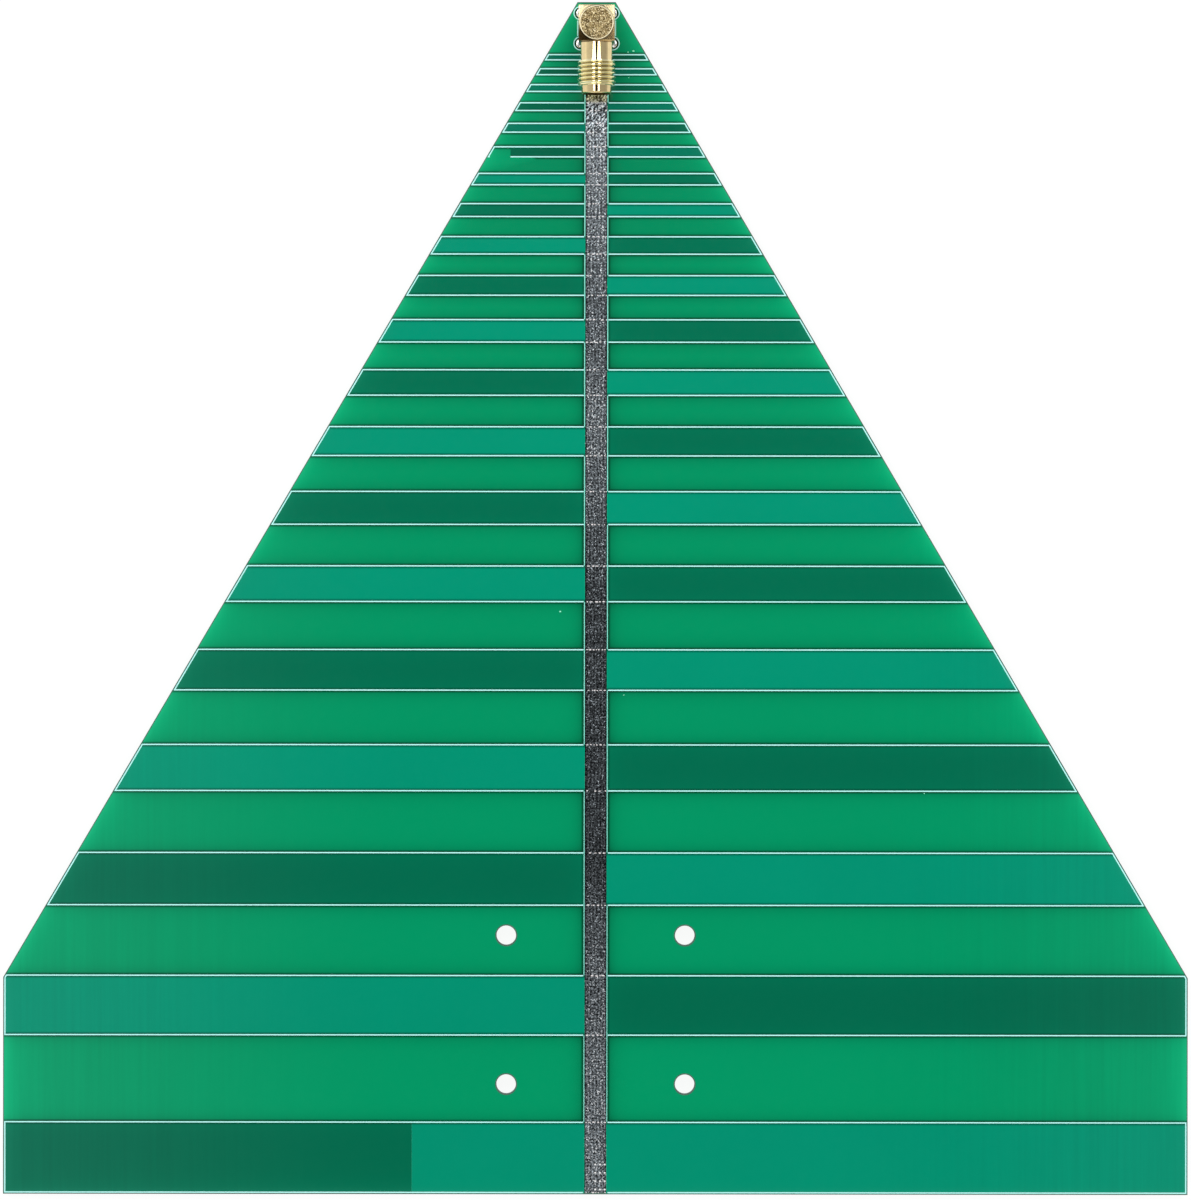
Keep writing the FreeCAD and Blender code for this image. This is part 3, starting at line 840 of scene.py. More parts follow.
@dataclass(frozen=True)
class LaminateFinish:
    """Cut glass-epoxy: plies of fibre across the thickness, cloudy along the cut."""

    name: str = "cut_laminate"
    colour: Colour = srgb(40, 82, 72)
    ply_colour: Colour = srgb(70, 104, 88)
    ply_pitch: float = 0.19

    def material(self) -> bpy.types.Material:
        """Two greens mixed by a wave up the cut edge, broken by noise along it."""
        shader = Shader(self.name)
        wave = shader.number("SINE", shader.number("MULTIPLY", shader.axis("Z"),
                                                   2 * math.pi / self.ply_pitch))
        fibres = shader.noise(1.0, 4.0, 0.7, shader.stretch(3.0, 3.0, 14.0))
        share = shader.number("MULTIPLY_ADD", wave, 0.2, shader.step(fibres, 0.25, 0.8))
        bump = shader.relief(fibres, 0.02)
        return shader.finish(base_color=shader.mix(share, self.colour, self.ply_colour),
                             roughness=0.55, normal=bump)


@dataclass(frozen=True)
class PlasticFinish:
    """Waxy white insulator with faint turning marks."""

    name: str = "white_insulator"
    colour: Colour = (0.86, 0.86, 0.82)

    def material(self) -> bpy.types.Material:
        """A pale plastic whose relief is a fine noise."""
        shader = Shader(self.name)
        cloud = shader.noise(1.5, 3.0)
        light = shader.number("MULTIPLY_ADD", cloud, 0.08, 0.95)
        bump = shader.relief(shader.noise(5.0, 3.0), 0.004)
        return shader.finish(base_color=shader.scaled(self.colour, light), roughness=0.42,
                             subsurface_weight=0.15, subsurface_scale=0.0006, normal=bump)


# The board


@dataclass(frozen=True)
class Pattern:
    """The board's outline and the law of its foil, in millimetres.

    The centres of the elements lie at first_centre x growth ** n from an apex beyond
    the tip, and each strip's width is its slimness times that distance. One arm of the
    back, on the left, was cut short, and the print along its lower edge with it.
    """

    board_w: float
    tail_y: float
    tip_y: float
    jack_y: float
    tip_w: float = 6.4
    tail_l: float = 36.4
    apex_beyond_tip: float = 8.5
    first_centre: float = 17.78
    growth: float = 1.1362
    tip_slimness: float = 0.0497
    middle_slimness: float = 0.0591
    base_slimness: float = 0.0564
    middle_from: int = 8
    base_from: int = 14
    last_strip_w: float = 12.1
    stub_l: float = 30.8
    short_arm: int = 5
    short_arm_side: Side = Side.LEFT
    short_arm_cut: float = 3.7
    foil_inset: float = 0.3
    line_w: float = 4.0
    opening_w: float = 3.7

    def law(self, index: int) -> tuple[float, float]:
        """Lower and upper edge that the law gives one element."""
        away = self.first_centre * self.growth ** index
        slimness = self.tip_slimness
        if index >= self.middle_from:
            slimness = self.middle_slimness
        if index >= self.base_from:
            slimness = self.base_slimness
        centre, half = self.tip_y + self.apex_beyond_tip - away, slimness * away / 2
        return centre - half, centre + half

    def elements(self) -> list[tuple[float, float]]:
        """Lower and upper edge of every element, from the tip to the tail."""
        found, index = [], 0
        while self.law(index)[0] > self.tail_y + self.last_strip_w:
            found.append(self.law(index))
            index += 1
        return found + [(self.tail_y + self.foil_inset, self.tail_y + self.last_strip_w)]

    def arm_side(self, index: int, face: Face) -> Side:
        """The side where a face has its own arm: even elements left on the front."""
        return Side((-1 if index % 2 == 0 else 1) * face.value)

    def slant(self) -> tuple[float, float]:
        """Unit vector out of the slanted edge on the right."""
        run, rise = (self.board_w - self.tip_w) / 2, self.tip_y - self.tail_y - self.tail_l
        length = math.hypot(run, rise)
        return rise / length, run / length

    def half_width(self, y: np.ndarray, inset: float) -> np.ndarray:
        """Half width of the outline at each height, moved inwards by inset."""
        nx, ny = self.slant()
        edge = nx * self.board_w / 2 + ny * (self.tail_y + self.tail_l)
        return np.minimum(self.board_w / 2 - inset, (edge - inset - ny * y) / nx)

    def rim_distance(self, x: np.ndarray, y: np.ndarray) -> np.ndarray:
        """Distance from each point to the nearest cut edge of the board."""
        slanted = (self.half_width(y, 0.0) - np.abs(x)) * self.slant()[0]
        side = self.board_w / 2 - np.abs(x)
        return np.minimum.reduce([slanted, side, y - self.tail_y, self.tip_y - y])

    def short_arm_end(self) -> float:
        """Distance from the centre line where the arm that was cut short ends."""
        low = np.array([self.law(self.short_arm)[0]])
        return float(self.half_width(low, self.foil_inset)[0]) - self.short_arm_cut

    def edge_distance(self, x: np.ndarray, y: np.ndarray) -> np.ndarray:
        """Distance along Y from each point to the nearest edge of an element, without
        the lower edge of the short arm where that is missing."""
        edges = np.delete(np.array(self.elements()).ravel(), -2)
        gaps = np.abs(y[:, None] - edges[None, :])
        beyond = x * self.short_arm_side.value > self.short_arm_end()
        gaps[beyond, 2 * self.short_arm] = NOT_NEAR
        return gaps.min(axis=1)


def near_both_ends(low: float, high: float, near: Sequence[float], step: float) -> np.ndarray:
    """Places between two ends: at the near distances from each, and evenly between.

    Args:
        low: first place.
        high: last place.
        near: distances from each end, from 0 up, used while they stay inside a third.
        step: largest spacing of the places between.

    Returns:
        The places in order.
    """
    reach = (high - low) / 3
    close = np.array([d for d in near if d < reach])
    start, end = low + close[-1], high - close[-1]
    count = max(1, math.ceil((end - start) / step))
    middle = np.linspace(start, end, count + 1)[1:-1]
    return np.concatenate([low + close, middle, (high - close)[::-1]])


@dataclass
class Lacquer:
    """Solder lacquer of one face, laid as closed fields over laminate and foil.

    The land is the bare field under the jack: its half width, lower end and upper end,
    and then the half width of the neck that joins it to the line.
    """

    face: Face
    pattern: Pattern
    core_z: float
    film: float = 0.025
    raised: float = 0.06
    flank_w: float = 0.06
    lip_w: float = 0.02
    pullback: float = 0.15
    hole_r: float = 1.85
    hole_spots: tuple[tuple[float, float], ...] = ()
    pads: tuple[tuple[float, float, float], ...] = ()
    land: tuple[float, float, float, float] = (0.0, 0.0, 0.0, 0.0)
    near: tuple[float, ...] = (0.0, 0.06, 0.15, 0.25, 0.4, 0.6, 0.9, 1.4, 2.2, 3.4)
    column_step: float = 7.0
    row_step: float = 1.6
    circle_steps: int = 48
    patches: dict[Tone, list[Patch]] = field(default_factory=dict)

    def rows(self, low: float, high: float) -> np.ndarray:
        """Heights of a field's rows, with one at the corner of the board's outline."""
        rows = near_both_ends(low, high, self.near, self.row_step)
        corner = self.pattern.tail_y + self.pattern.tail_l
        if low < corner < high:
            rows = np.sort(np.append(rows, corner))
        return rows

    def columns(self, y: np.ndarray, start: float, end: Optional[float]) -> np.ndarray:
        """X of a field's columns at each height, close together beside line and rim.

        Args:
            y: heights of the rows.
            start: X where the field starts, beside the line.
            end: X where it ends, or None for the lacquer's own rim.

        Returns:
            X, rows by columns.
        """
        near = np.array(self.near)
        if end is None:
            far = np.stack([self.pattern.half_width(y, self.pullback + d) for d in near[::-1]], 1)
        else:
            far = np.broadcast_to(end - near[::-1], (len(y), len(near)))
        room = (far[:, -1].min() - start) / 3
        close = near[near < room]
        far = far[:, len(near) - len(close):]
        count = max(2, math.ceil((far[:, 0].max() - start - close[-1]) / self.column_step))
        share = np.linspace(0, 1, count + 1)[1:-1]
        first = start + close[-1]
        middle = first + (far[:, :1] - first) * share[None, :]
        return np.hstack([np.broadcast_to(start + close, (len(y), len(close))), middle, far])

    def lay(self, tone: Tone, side: Side, x: np.ndarray, y: np.ndarray,
            height: np.ndarray) -> None:
        """Adds one closed field from its grid on the right-hand side, seen from its face."""
        flip = side.value * self.face.value
        patch = grid_patch(side.value * x, y, self.core_z + self.face.value * height)
        if flip < 0:
            patch.faces = turned_over(patch.faces)
        self.patches.setdefault(tone, []).append(self.closed(patch))

    def closed(self, patch: Patch) -> Patch:
        """The patch closed down to the laminate."""
        if self.face is Face.FRONT:
            return closed_down(patch, self.core_z)
        mirror = (1, 1, -1)
        shell = closed_down(Patch(patch.points * mirror, turned_over(patch.faces)), -self.core_z)
        return Patch(shell.points * mirror, turned_over(shell.faces))

    def flat_field(self, tone: Tone, side: Side, low: float, high: float, start: float,
                   end: Optional[float] = None) -> None:
        """A field with no foil of this face under it, at the film's height."""
        rows = self.rows(low, high)
        x = self.columns(rows, start, end)
        y = np.broadcast_to(rows[:, None], x.shape)
        self.lay(tone, side, x, y, np.full(x.shape, self.film))

    def foil_field(self, side: Side, low: float, high: float, start: float,
                   end: Optional[float] = None) -> None:
        """A field raised over this face's own arm, with flanks down to the film.

        The height is the film's at the foot and the raised height once the flank's
        width has passed, along both long edges and at the outer end.
        """
        rows = self.rows(low - self.flank_w, high + self.flank_w)
        x = self.columns(rows, start, end)
        y = np.broadcast_to(rows[:, None], x.shape)
        inwards = np.minimum(y - (low - self.flank_w), (high + self.flank_w) - y)
        if end is None:
            rim = self.pattern.rim_distance(x, y) - (self.pattern.foil_inset - self.flank_w)
            inwards = np.minimum(inwards, np.where(x > start + 1.0, rim, inwards))
        else:
            inwards = np.minimum(inwards, end - x)
        over_line = x <= self.pattern.line_w / 2 + 1e-6
        share = np.where(over_line, 1.0, np.clip(inwards / self.flank_w, 0.0, 1.0))
        self.lay(Tone.NEAR_FOIL, side, x, y, self.film + (self.raised - self.film) * share)

    def lip(self, side: Side, low: float, high: float) -> None:
        """The thin lacquer along the edge of the line's foil, between two arms."""
        half = self.pattern.line_w / 2
        across = np.array([self.pattern.opening_w / 2, half - 0.05, half, half + self.lip_w])
        heights = np.array([self.raised - 0.004, self.raised, self.raised - 0.004, self.film])
        rows = near_both_ends(low, high, (0.0,), 4.0)
        x = np.broadcast_to(across, (len(rows), len(across)))
        y = np.broadcast_to(rows[:, None], x.shape)
        self.lay(Tone.LIP, side, x, y, np.broadcast_to(heights, x.shape))

    def circle(self, x: float, y: float, radius: float) -> np.ndarray:
        """Points round a circle."""
        angle = np.arange(self.circle_steps) * (2 * math.pi / self.circle_steps)
        return np.stack([x + radius * np.cos(angle), y + radius * np.sin(angle)], axis=1)

    def pad_distance(self, x: np.ndarray, y: np.ndarray) -> np.ndarray:
        """Distance from each point to the rim of the nearest pad."""
        gaps = [np.hypot(x - sx, y - sy) - radius for sx, sy, radius in self.pads]
        return np.minimum.reduce(gaps + [np.full(len(x), NOT_NEAR)])

    def cut_field(self, tone: Tone, grid_x: np.ndarray, grid_y: np.ndarray, height: float,
                  outline: np.ndarray, holes: Sequence[np.ndarray],
                  kept: Callable[[np.ndarray, np.ndarray], np.ndarray]) -> None:
        """A flat field with openings, as triangles between its grid, outline and holes.

        Args:
            tone: what lies under the lacquer.
            grid_x: X of points to use inside.
            grid_y: Y of those points.
            height: height above the laminate.
            outline: corners of the field.
            holes: corners of each opening.
            kept: tells for arrays of X and Y which places are lacquer.
        """
        inside = kept(grid_x, grid_y)
        points = [np.stack([grid_x[inside], grid_y[inside]], axis=1)]
        edges, start = [], int(inside.sum())
        for loop in (outline, *holes):
            count = len(loop)
            points.append(loop)
            edges += [(start + i, start + (i + 1) % count) for i in range(count)]
            start += count
        flat = [Vector(point) for point in np.vstack(points).tolist()]
        found, _, triangles, *_ = delaunay_2d_cdt(flat, edges, [], 0, 1e-5)
        places = np.array([tuple(point) for point in found])
        corners = np.array(triangles)
        middles = places[corners].mean(axis=1)
        corners = corners[kept(middles[:, 0], middles[:, 1])]
        first, second = (places[corners[:, k]] - places[corners[:, 0]] for k in (1, 2))
        turned = (first[:, 0] * second[:, 1] - first[:, 1] * second[:, 0]) * self.face.value < 0
        corners[turned] = corners[turned][:, ::-1]
        used, corners = np.unique(corners, return_inverse=True)
        z = np.full(len(used), self.core_z + self.face.value * height)
        patch = Patch(np.column_stack([places[used], z]),
                      [tuple(t) for t in corners.reshape(-1, 3).tolist()])
        self.patches.setdefault(tone, []).append(self.closed(patch))

    def holed_field(self, side: Side, low: float, high: float, start: float) -> None:
        """A bare field with the mounting holes that lie in it."""
        rows = self.rows(low, high)
        x = self.columns(rows, start, None)
        y = np.broadcast_to(rows[:, None], x.shape)
        ring = np.vstack([np.stack([x[0], y[0]], 1), np.stack([x[1:, -1], y[1:, -1]], 1),
                          np.stack([x[-1, -2::-1], y[-1, -2::-1]], 1),
                          np.stack([x[-2:0:-1, 0], y[-2:0:-1, 0]], 1)])
        spots = [(sx, sy) for sx, sy in self.hole_spots if sx * side.value > 0 and low < sy < high]

        def kept(px: np.ndarray, py: np.ndarray) -> np.ndarray:
            """Places outside every hole."""
            gaps = [np.hypot(px - sx, py - sy) > self.hole_r for sx, sy in spots]
            return np.logical_and.reduce(gaps)

        rings = [self.circle(sx, sy, self.hole_r + 0.3) for sx, sy in spots]
        holes = [self.circle(sx, sy, self.hole_r) for sx, sy in spots]
        inner = (x[1:-1, 1:-1] * side.value, y[1:-1, 1:-1])
        extra = [np.concatenate([part.ravel()] + [r[:, k] for r in rings])
                 for k, part in enumerate(inner)]
        ring[:, 0] *= side.value
        self.cut_field(Tone.BARE, extra[0], extra[1], self.film, ring, holes, kept)

    def tip_fields(self, low: float) -> None:
        """Lacquer round the jack: the film beside its land and pads, and the raised
        strip beside the line and the feed.

        Args:
            low: where the tip's film starts, above the shortest element.
        """
        half, top = self.pattern.line_w / 2 + self.lip_w, self.pattern.tip_y - self.pullback
        land_x, land_low, land_high, neck_x = self.land
        opening = self.pattern.opening_w / 2

        def open_here(px: np.ndarray, py: np.ndarray) -> np.ndarray:
            """Places where the tin shows."""
            shown = (np.abs(px) < opening) & (py < land_low)
            shown |= (np.abs(px) < land_x) & (py > land_low) & (py < land_high)
            shown |= (np.abs(px) < neck_x) & (py < self.pattern.jack_y)
            for sx, sy, radius in self.pads:
                shown |= np.hypot(px - sx, py - sy) < radius
            return shown

        def on_film(px: np.ndarray, py: np.ndarray) -> np.ndarray:
            """Places of the film, outside the raised strip."""
            raised = (np.abs(px) < half) & (py < self.pattern.jack_y)
            return ~open_here(px, py) & ~raised

        def on_strip(px: np.ndarray, py: np.ndarray) -> np.ndarray:
            """Places of the raised strip."""
            return ~open_here(px, py) & (np.abs(px) < half) & (py < self.pattern.jack_y)

        outline = np.array([(sign * self.pattern.half_width(np.array([y]), self.pullback)[0], y)
                            for sign, y in ((-1, low), (1, low), (1, top), (-1, top))])
        shapes = [self.circle(sx, sy, radius) for sx, sy, radius in self.pads]
        for x, y0, y1 in ((opening, low, land_low), (land_x, land_low, land_high),
                          (neck_x, low, self.pattern.jack_y), (half, low, self.pattern.jack_y)):
            if x > 0 and y1 > y0:
                shapes.append(np.array([(-x, y0), (x, y0), (x, y1), (-x, y1)]))
        grid_x, grid_y = self.tip_points(low, top)
        self.cut_field(Tone.BARE, grid_x, grid_y, self.film, outline, shapes, on_film)
        strip = np.array([(-half, low), (half, low), (half, self.pattern.jack_y),
                          (-half, self.pattern.jack_y)])
        self.cut_field(Tone.LIP, grid_x[:0], grid_y[:0], self.raised, strip, shapes, on_strip)

    def tip_points(self, low: float, top: float) -> tuple[np.ndarray, np.ndarray]:
        """Points inside the tip's film: a grid, rows beside the rim and rings round the
        pads.

        Args:
            low: where the film starts.
            top: where it ends.

        Returns:
            X and Y of the points.
        """
        rows = near_both_ends(low, top, (0.0, 0.15, 0.4, 0.9), 0.9)
        across = np.linspace(-6.0, 6.0, 13)
        grid = [np.stack([part.ravel() for part in np.meshgrid(across, rows[1:-1])], axis=1)]
        for gap in (0.4, 1.2):
            reach = self.pattern.half_width(rows, self.pullback + gap)
            grid += [np.stack([sign * reach, rows], axis=1) for sign in (-1, 1)]
        grid += [self.circle(sx, sy, radius + gap) for sx, sy, radius in self.pads
                 for gap in (0.06, 0.12, 0.2, 0.3, 0.4, 0.7)]
        x, y = np.vstack(grid).T
        safe = np.abs(x) < self.pattern.half_width(y, self.pullback + 0.05)
        safe &= (y > low + 0.05) & (y < top - 0.05)
        return x[safe], y[safe]

    def build(self, finishes: dict[Tone, LacquerFinish]) -> None:
        """Lays every field of the face and makes one piece of each tone."""
        pattern = self.pattern
        elements = pattern.elements()
        beside, opening = pattern.line_w / 2 + self.lip_w, pattern.opening_w / 2
        last = len(elements) - 1
        for side in Side:
            for index, (low, high) in enumerate(elements):
                own = pattern.arm_side(index, self.face) is side
                end = None
                if index == last:
                    low = pattern.tail_y + self.pullback + self.flank_w
                if index == pattern.short_arm and side is pattern.short_arm_side:
                    end = pattern.short_arm_end() + (self.flank_w if own else 0.0)
                    self.flat_field(Tone.BARE, side, low - self.flank_w, high + self.flank_w, end)
                if own:
                    self.foil_field(side, low, high, opening, end)
                elif index == last:
                    self.foil_field(side, low, high, opening, pattern.stub_l + self.flank_w)
                    self.flat_field(Tone.FAR_FOIL, side, low - self.flank_w, high + self.flank_w,
                                    pattern.stub_l + self.flank_w)
                else:
                    self.flat_field(Tone.FAR_FOIL, side, low - self.flank_w, high + self.flank_w,
                                    beside, end)
                    self.lip(side, low - self.flank_w, high + self.flank_w)
            for (gap_high, _), (_, gap_low) in zip(elements[:-1], elements[1:]):
                low, high = gap_low + self.flank_w, gap_high - self.flank_w
                self.lip(side, low, high)
                if any(low < sy < high for _, sy in self.hole_spots):
                    self.holed_field(side, low, high, beside)
                else:
                    self.flat_field(Tone.BARE, side, low, high, beside)
        self.tip_fields(elements[0][1] + self.flank_w)
        for tone, patches in self.patches.items():
            self.make_piece(tone, joined(patches), finishes[tone])

    def make_piece(self, tone: Tone, patch: Patch, finish: LacquerFinish) -> None:
        """One tone's fields as one piece, with the distances that its look reads."""
        node = f"{self.face.name.lower()}_solder_mask"
        piece = make_object(f"{self.face.name.lower()}_lacquer_{tone.value}", patch)
        x, y, _ = mesh_points(piece).T
        line = np.maximum(np.abs(x) - self.pattern.line_w / 2, 0.0)
        if tone in (Tone.NEAR_FOIL, Tone.LIP):
            line[line > 0.0] = NOT_NEAR
        write_attribute(piece, "rim_mm", self.pattern.rim_distance(x, y))
        write_attribute(piece, "edge_mm", self.pattern.edge_distance(x, y))
        write_attribute(piece, "line_mm", line)
        write_attribute(piece, "pad_mm", self.pad_distance(x, y))
        piece.data.materials.append(finish.material())
        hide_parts(node)


@dataclass
class TornPrint:
    """What is left of the printed lines where they cross the bare tin, as rows of
    ragged dashes, and a few stray specks of ink on the lacquer."""

    pattern: Pattern
    top_z: float
    ink_t: float = 0.015
    first_element: int = 2
    dash_l: Pair = (0.12, 0.5)
    gap_l: Pair = (0.10, 0.45)
    dash_w: Pair = (0.12, 0.24)
    dash_share: float = 0.86
    ragged: float = 0.22
    corners: int = 14
    seed: int = 31
    specks: tuple[tuple[float, float, float], ...] = (
        (5.3, 160.9, 0.22), (6.2, 161.1, 0.34), (5.4, 156.6, 0.18), (-6.0, 66.9, 0.30),
        (4.7, 52.9, 0.20), (11.8, -29.6, 0.22), (-49.7, 36.7, 0.20), (55.2, 36.4, 0.20))

    def dash(self, draw: np.random.Generator, x: float, y: float, length: float,
             width: float) -> Patch:
        """One ragged dash: a squarish oval whose radius is varied at each corner."""
        angle = np.arange(self.corners) * (2 * math.pi / self.corners)
        ragged = 1 + draw.uniform(-self.ragged, self.ragged, self.corners)
        power = (np.abs(np.cos(angle)) ** 3 + np.abs(np.sin(angle)) ** 3) ** (-1 / 3)
        px = x + length / 2 * np.cos(angle) * power * ragged
        py = y + width / 2 * np.sin(angle) * power * ragged
        pz = np.full(self.corners, self.top_z + self.ink_t)
        patch = Patch(np.column_stack([px, py, pz]), [tuple(range(self.corners))])
        return closed_down(patch, self.top_z)

    def build(self, finish: InkFinish, whole: InkFinish, lacquer_z: float) -> None:
        """Dashes along every printed line from one side of the tin to the other, and specks.

        Args:
            finish: look of the torn ink.
            whole: look of the ink on lacquer.
            lacquer_z: Z of the lacquer where it lies on bare laminate.
        """
        draw = np.random.default_rng(self.seed)
        half = self.pattern.opening_w / 2
        dashes = []
        for low, high in self.pattern.elements()[self.first_element:]:
            for y in (low, high):
                x = -half + draw.uniform(*self.gap_l)
                while x < half - 0.15:
                    length = min(draw.uniform(*self.dash_l), half - 0.05 - x)
                    if draw.uniform() < self.dash_share:
                        dashes.append(self.dash(draw, x + length / 2, y + draw.normal(0, 0.02),
                                                length, draw.uniform(*self.dash_w)))
                    x += length + draw.uniform(*self.gap_l)
        spots = []
        for x, y, size in self.specks:
            spot = self.dash(draw, x, y, size, size * draw.uniform(0.4, 0.8))
            spot.points[:, 2] += lacquer_z - self.top_z
            spots.append(spot)
        stray = make_object("stray_ink", joined(spots))
        stray.data.materials.append(whole.material())
        piece = make_object("print_on_tin", joined(dashes))
        piece.data.materials.append(finish.material())


# The jack


@dataclass
class Jack:
    """The right-angle jack's block, cap and barrel, turned and cast with real edges.

    Lengths are millimetres, but the groove's width and the run-out are shares of the
    thread's pitch, the groove's flank is a share of half a pitch and the span of the
    painted shade in the grooves is a share of the thread's depth.
    """

    centre_y: float
    block_low: np.ndarray
    block_high: np.ndarray
    axis_z: float
    legs_low_z: float
    leg_w: float = 0.6
    leg_inset_x: float = 0.0
    leg_inset_y: float = 0.16
    edge_r: float = 0.14
    leg_edge_r: float = 0.06
    cap_r: float = 2.825
    cap_top_z: float = 11.035
    cap_plug_r: float = 2.1
    cap_rim_w: float = 0.16
    cap_recess: float = 0.06
    cap_plug_l: float = 0.8
    cap_steps: int = 144
    crumb_h: float = 0.035
    crumb_waves: int = 60
    crumb_scale: float = 9.0
    crumb_limit: float = 12.0
    solder_rises: tuple[tuple[int, int, float], ...] = (
        (-1, 1, 0.30), (1, 1, 0.36), (-1, -1, 0.12), (1, -1, 0.16))
    solder_foot: float = 0.12
    solder_top_r: float = 0.33
    solder_inner_r: float = 0.30
    neck_r: float = 2.65
    neck_l: float = 3.15
    spigot_r: float = 2.5
    bore_r: float = 2.1
    thread_r: float = 3.175
    thread_l: float = 4.0
    thread_pitch: float = 25.4 / 36
    thread_depth: float = 0.40
    thread_drop: float = 0.12
    groove: float = 0.80
    groove_flank: float = 0.72
    run_out: float = 0.6
    # painted shade in the grooves: where it starts under the top and how deep it spreads
    shade_from: float = 0.14
    shade_span: float = 0.6
    nose_r: float = 2.55
    nose_l: float = 1.45
    nose_chamfer: float = 0.2
    nose_darkening: float = 0.15
    mouth_r: float = 2.3
    mouth_depth: float = 1.9
    insulator_r: float = 2.05
    barrel_steps: int = 160
    seed: int = 7

    def half_l(self) -> float:
        """Half the block's length along Y."""
        return float(self.block_high[1] - self.block_low[1]) / 2

    def stations(self) -> tuple[float, float, float]:
        """Where the neck, the thread and the nose end, as distances along the barrel
        from the legs' centre."""
        neck_end = self.half_l() + self.neck_l
        thread_end = neck_end + self.thread_l
        return neck_end, thread_end, thread_end + self.nose_l

    def leg_reach(self) -> tuple[float, float]:
        """Places of the legs' middles from the middle of the four, along X and along Y."""
        half_w = float(self.block_high[0])
        return (half_w - self.leg_inset_x - self.leg_w / 2,
                self.half_l() - self.leg_inset_y - self.leg_w / 2)

    def build_block(self, finish: BlockFinish) -> None:
        """The cast block and its four legs, with worn edges."""
        shapes = [rounded_box(self.block_low, self.block_high, self.edge_r)]
        half_x, half_y = self.leg_reach()
        for sx in (-1, 1):
            for sy in (-1, 1):
                middle = np.array([sx * half_x, self.centre_y + sy * half_y])
                low = np.append(middle - self.leg_w / 2, self.legs_low_z)
                high = np.append(middle + self.leg_w / 2, self.block_low[2] + self.edge_r * 1.5)
                shapes.append(rounded_box(low, high, self.leg_edge_r, 2))
        piece = make_object("jack_block", joined(shapes), smooth=35, merge=True, turn_out=True)
        piece.data.materials.append(finish.material())
        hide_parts("jack_body")

    def build_front_solder(self, seat: float, pad_r: float, finish: MetalFinish) -> None:
        """Solder round each leg on the front: a low hollow cone from the pad's rim up to
        the leg, which shows beside the block.

        Args:
            seat: Z of the pads' tin.
            pad_r: radius of a pad.
            finish: look of the solder.
        """
        half_x, half_y = self.leg_reach()
        foot, share = pad_r - self.solder_foot, np.linspace(0.0, 1.0, 9)
        outer = foot - (foot - self.solder_top_r) * share
        radius = np.append(outer, [self.solder_inner_r, foot])
        shapes = []
        for sx, sy, rise in self.solder_rises:
            height = np.append(rise * share ** 2.2, [0.0, 0.0])
            cone = lathe(radius, seat + height, 40)
            cone.points[:, 0] += sx * half_x
            cone.points[:, 1] += self.centre_y + sy * half_y
            shapes.append(cone)
        piece = make_object("front_leg_solder", joined(shapes), smooth=40, merge=True,
                            turn_out=True)
        piece.data.materials.append(finish.material())

    def crumbs(self, points: np.ndarray) -> np.ndarray:
        """Heights of the crumbs at points of the cap's face, fading out at its edge."""
        draw = np.random.default_rng(self.seed)
        waves = np.zeros(len(points))
        for kx, ky, phase, size in draw.normal(0, 1, (self.crumb_waves, 4)):
            turn = self.crumb_scale * (kx * points[:, 0] + ky * points[:, 1])
            waves += size * np.sin(turn + 6 * phase)
        reach = np.hypot(points[:, 0], points[:, 1])
        fade = np.clip((self.cap_r - self.cap_rim_w - 0.05 - reach) / 0.3, 0, 1)
        return np.clip(waves / self.crumb_limit, -1, 1) * self.crumb_h * fade

    def build_cap(self, rim: MetalFinish, face: CastFinish) -> None:
        """The pressed cap: a rounded rim round a sunk face of crumbs.

        The profile runs from the plug's end out over the rim to the middle of the
        face; the face's height gets seeded noise that fades out at its edge.
        """
        top, seat = self.cap_top_z, self.block_high[2]
        bead = self.cap_rim_w / 2
        arc = np.linspace(0, math.pi, 9)
        rim_r = self.cap_r - bead + bead * np.cos(arc)
        rim_z = top - bead + bead * np.sin(arc)
        floor_z = top - self.cap_recess
        face_r = np.linspace(self.cap_r - self.cap_rim_w, 0.0, 40)
        radius = np.concatenate([[0.0, self.cap_plug_r, self.cap_plug_r, self.cap_r - 0.04,
                                  self.cap_r], rim_r, face_r])
        along = np.concatenate([[seat - self.cap_plug_l, seat - self.cap_plug_l, seat, seat,
                                 seat + 0.04], rim_z, np.full(len(face_r), floor_z)])
        patch = lathe(radius, along, self.cap_steps)
        on_face = patch.points[-len(face_r) * self.cap_steps:]
        on_face[:, 2] += self.crumbs(on_face)
        patch.points[:, 1] += self.centre_y
        piece = make_object("cap_disc", patch, smooth=50, merge=True, turn_out=True)
        piece.data.materials.append(rim.material())
        piece.data.materials.append(face.material())
        middles = np.zeros(len(piece.data.polygons) * 3, np.float32)
        piece.data.polygons.foreach_get("center", middles)
        middles = middles.reshape(-1, 3) / MM
        spread = np.hypot(middles[:, 0], middles[:, 1] - self.centre_y)
        rough = (spread < self.cap_r - self.cap_rim_w - 0.02) & (middles[:, 2] > seat + 0.1)
        piece.data.polygons.foreach_set("material_index", rough.astype(np.int32))
        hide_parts("jack_cap")

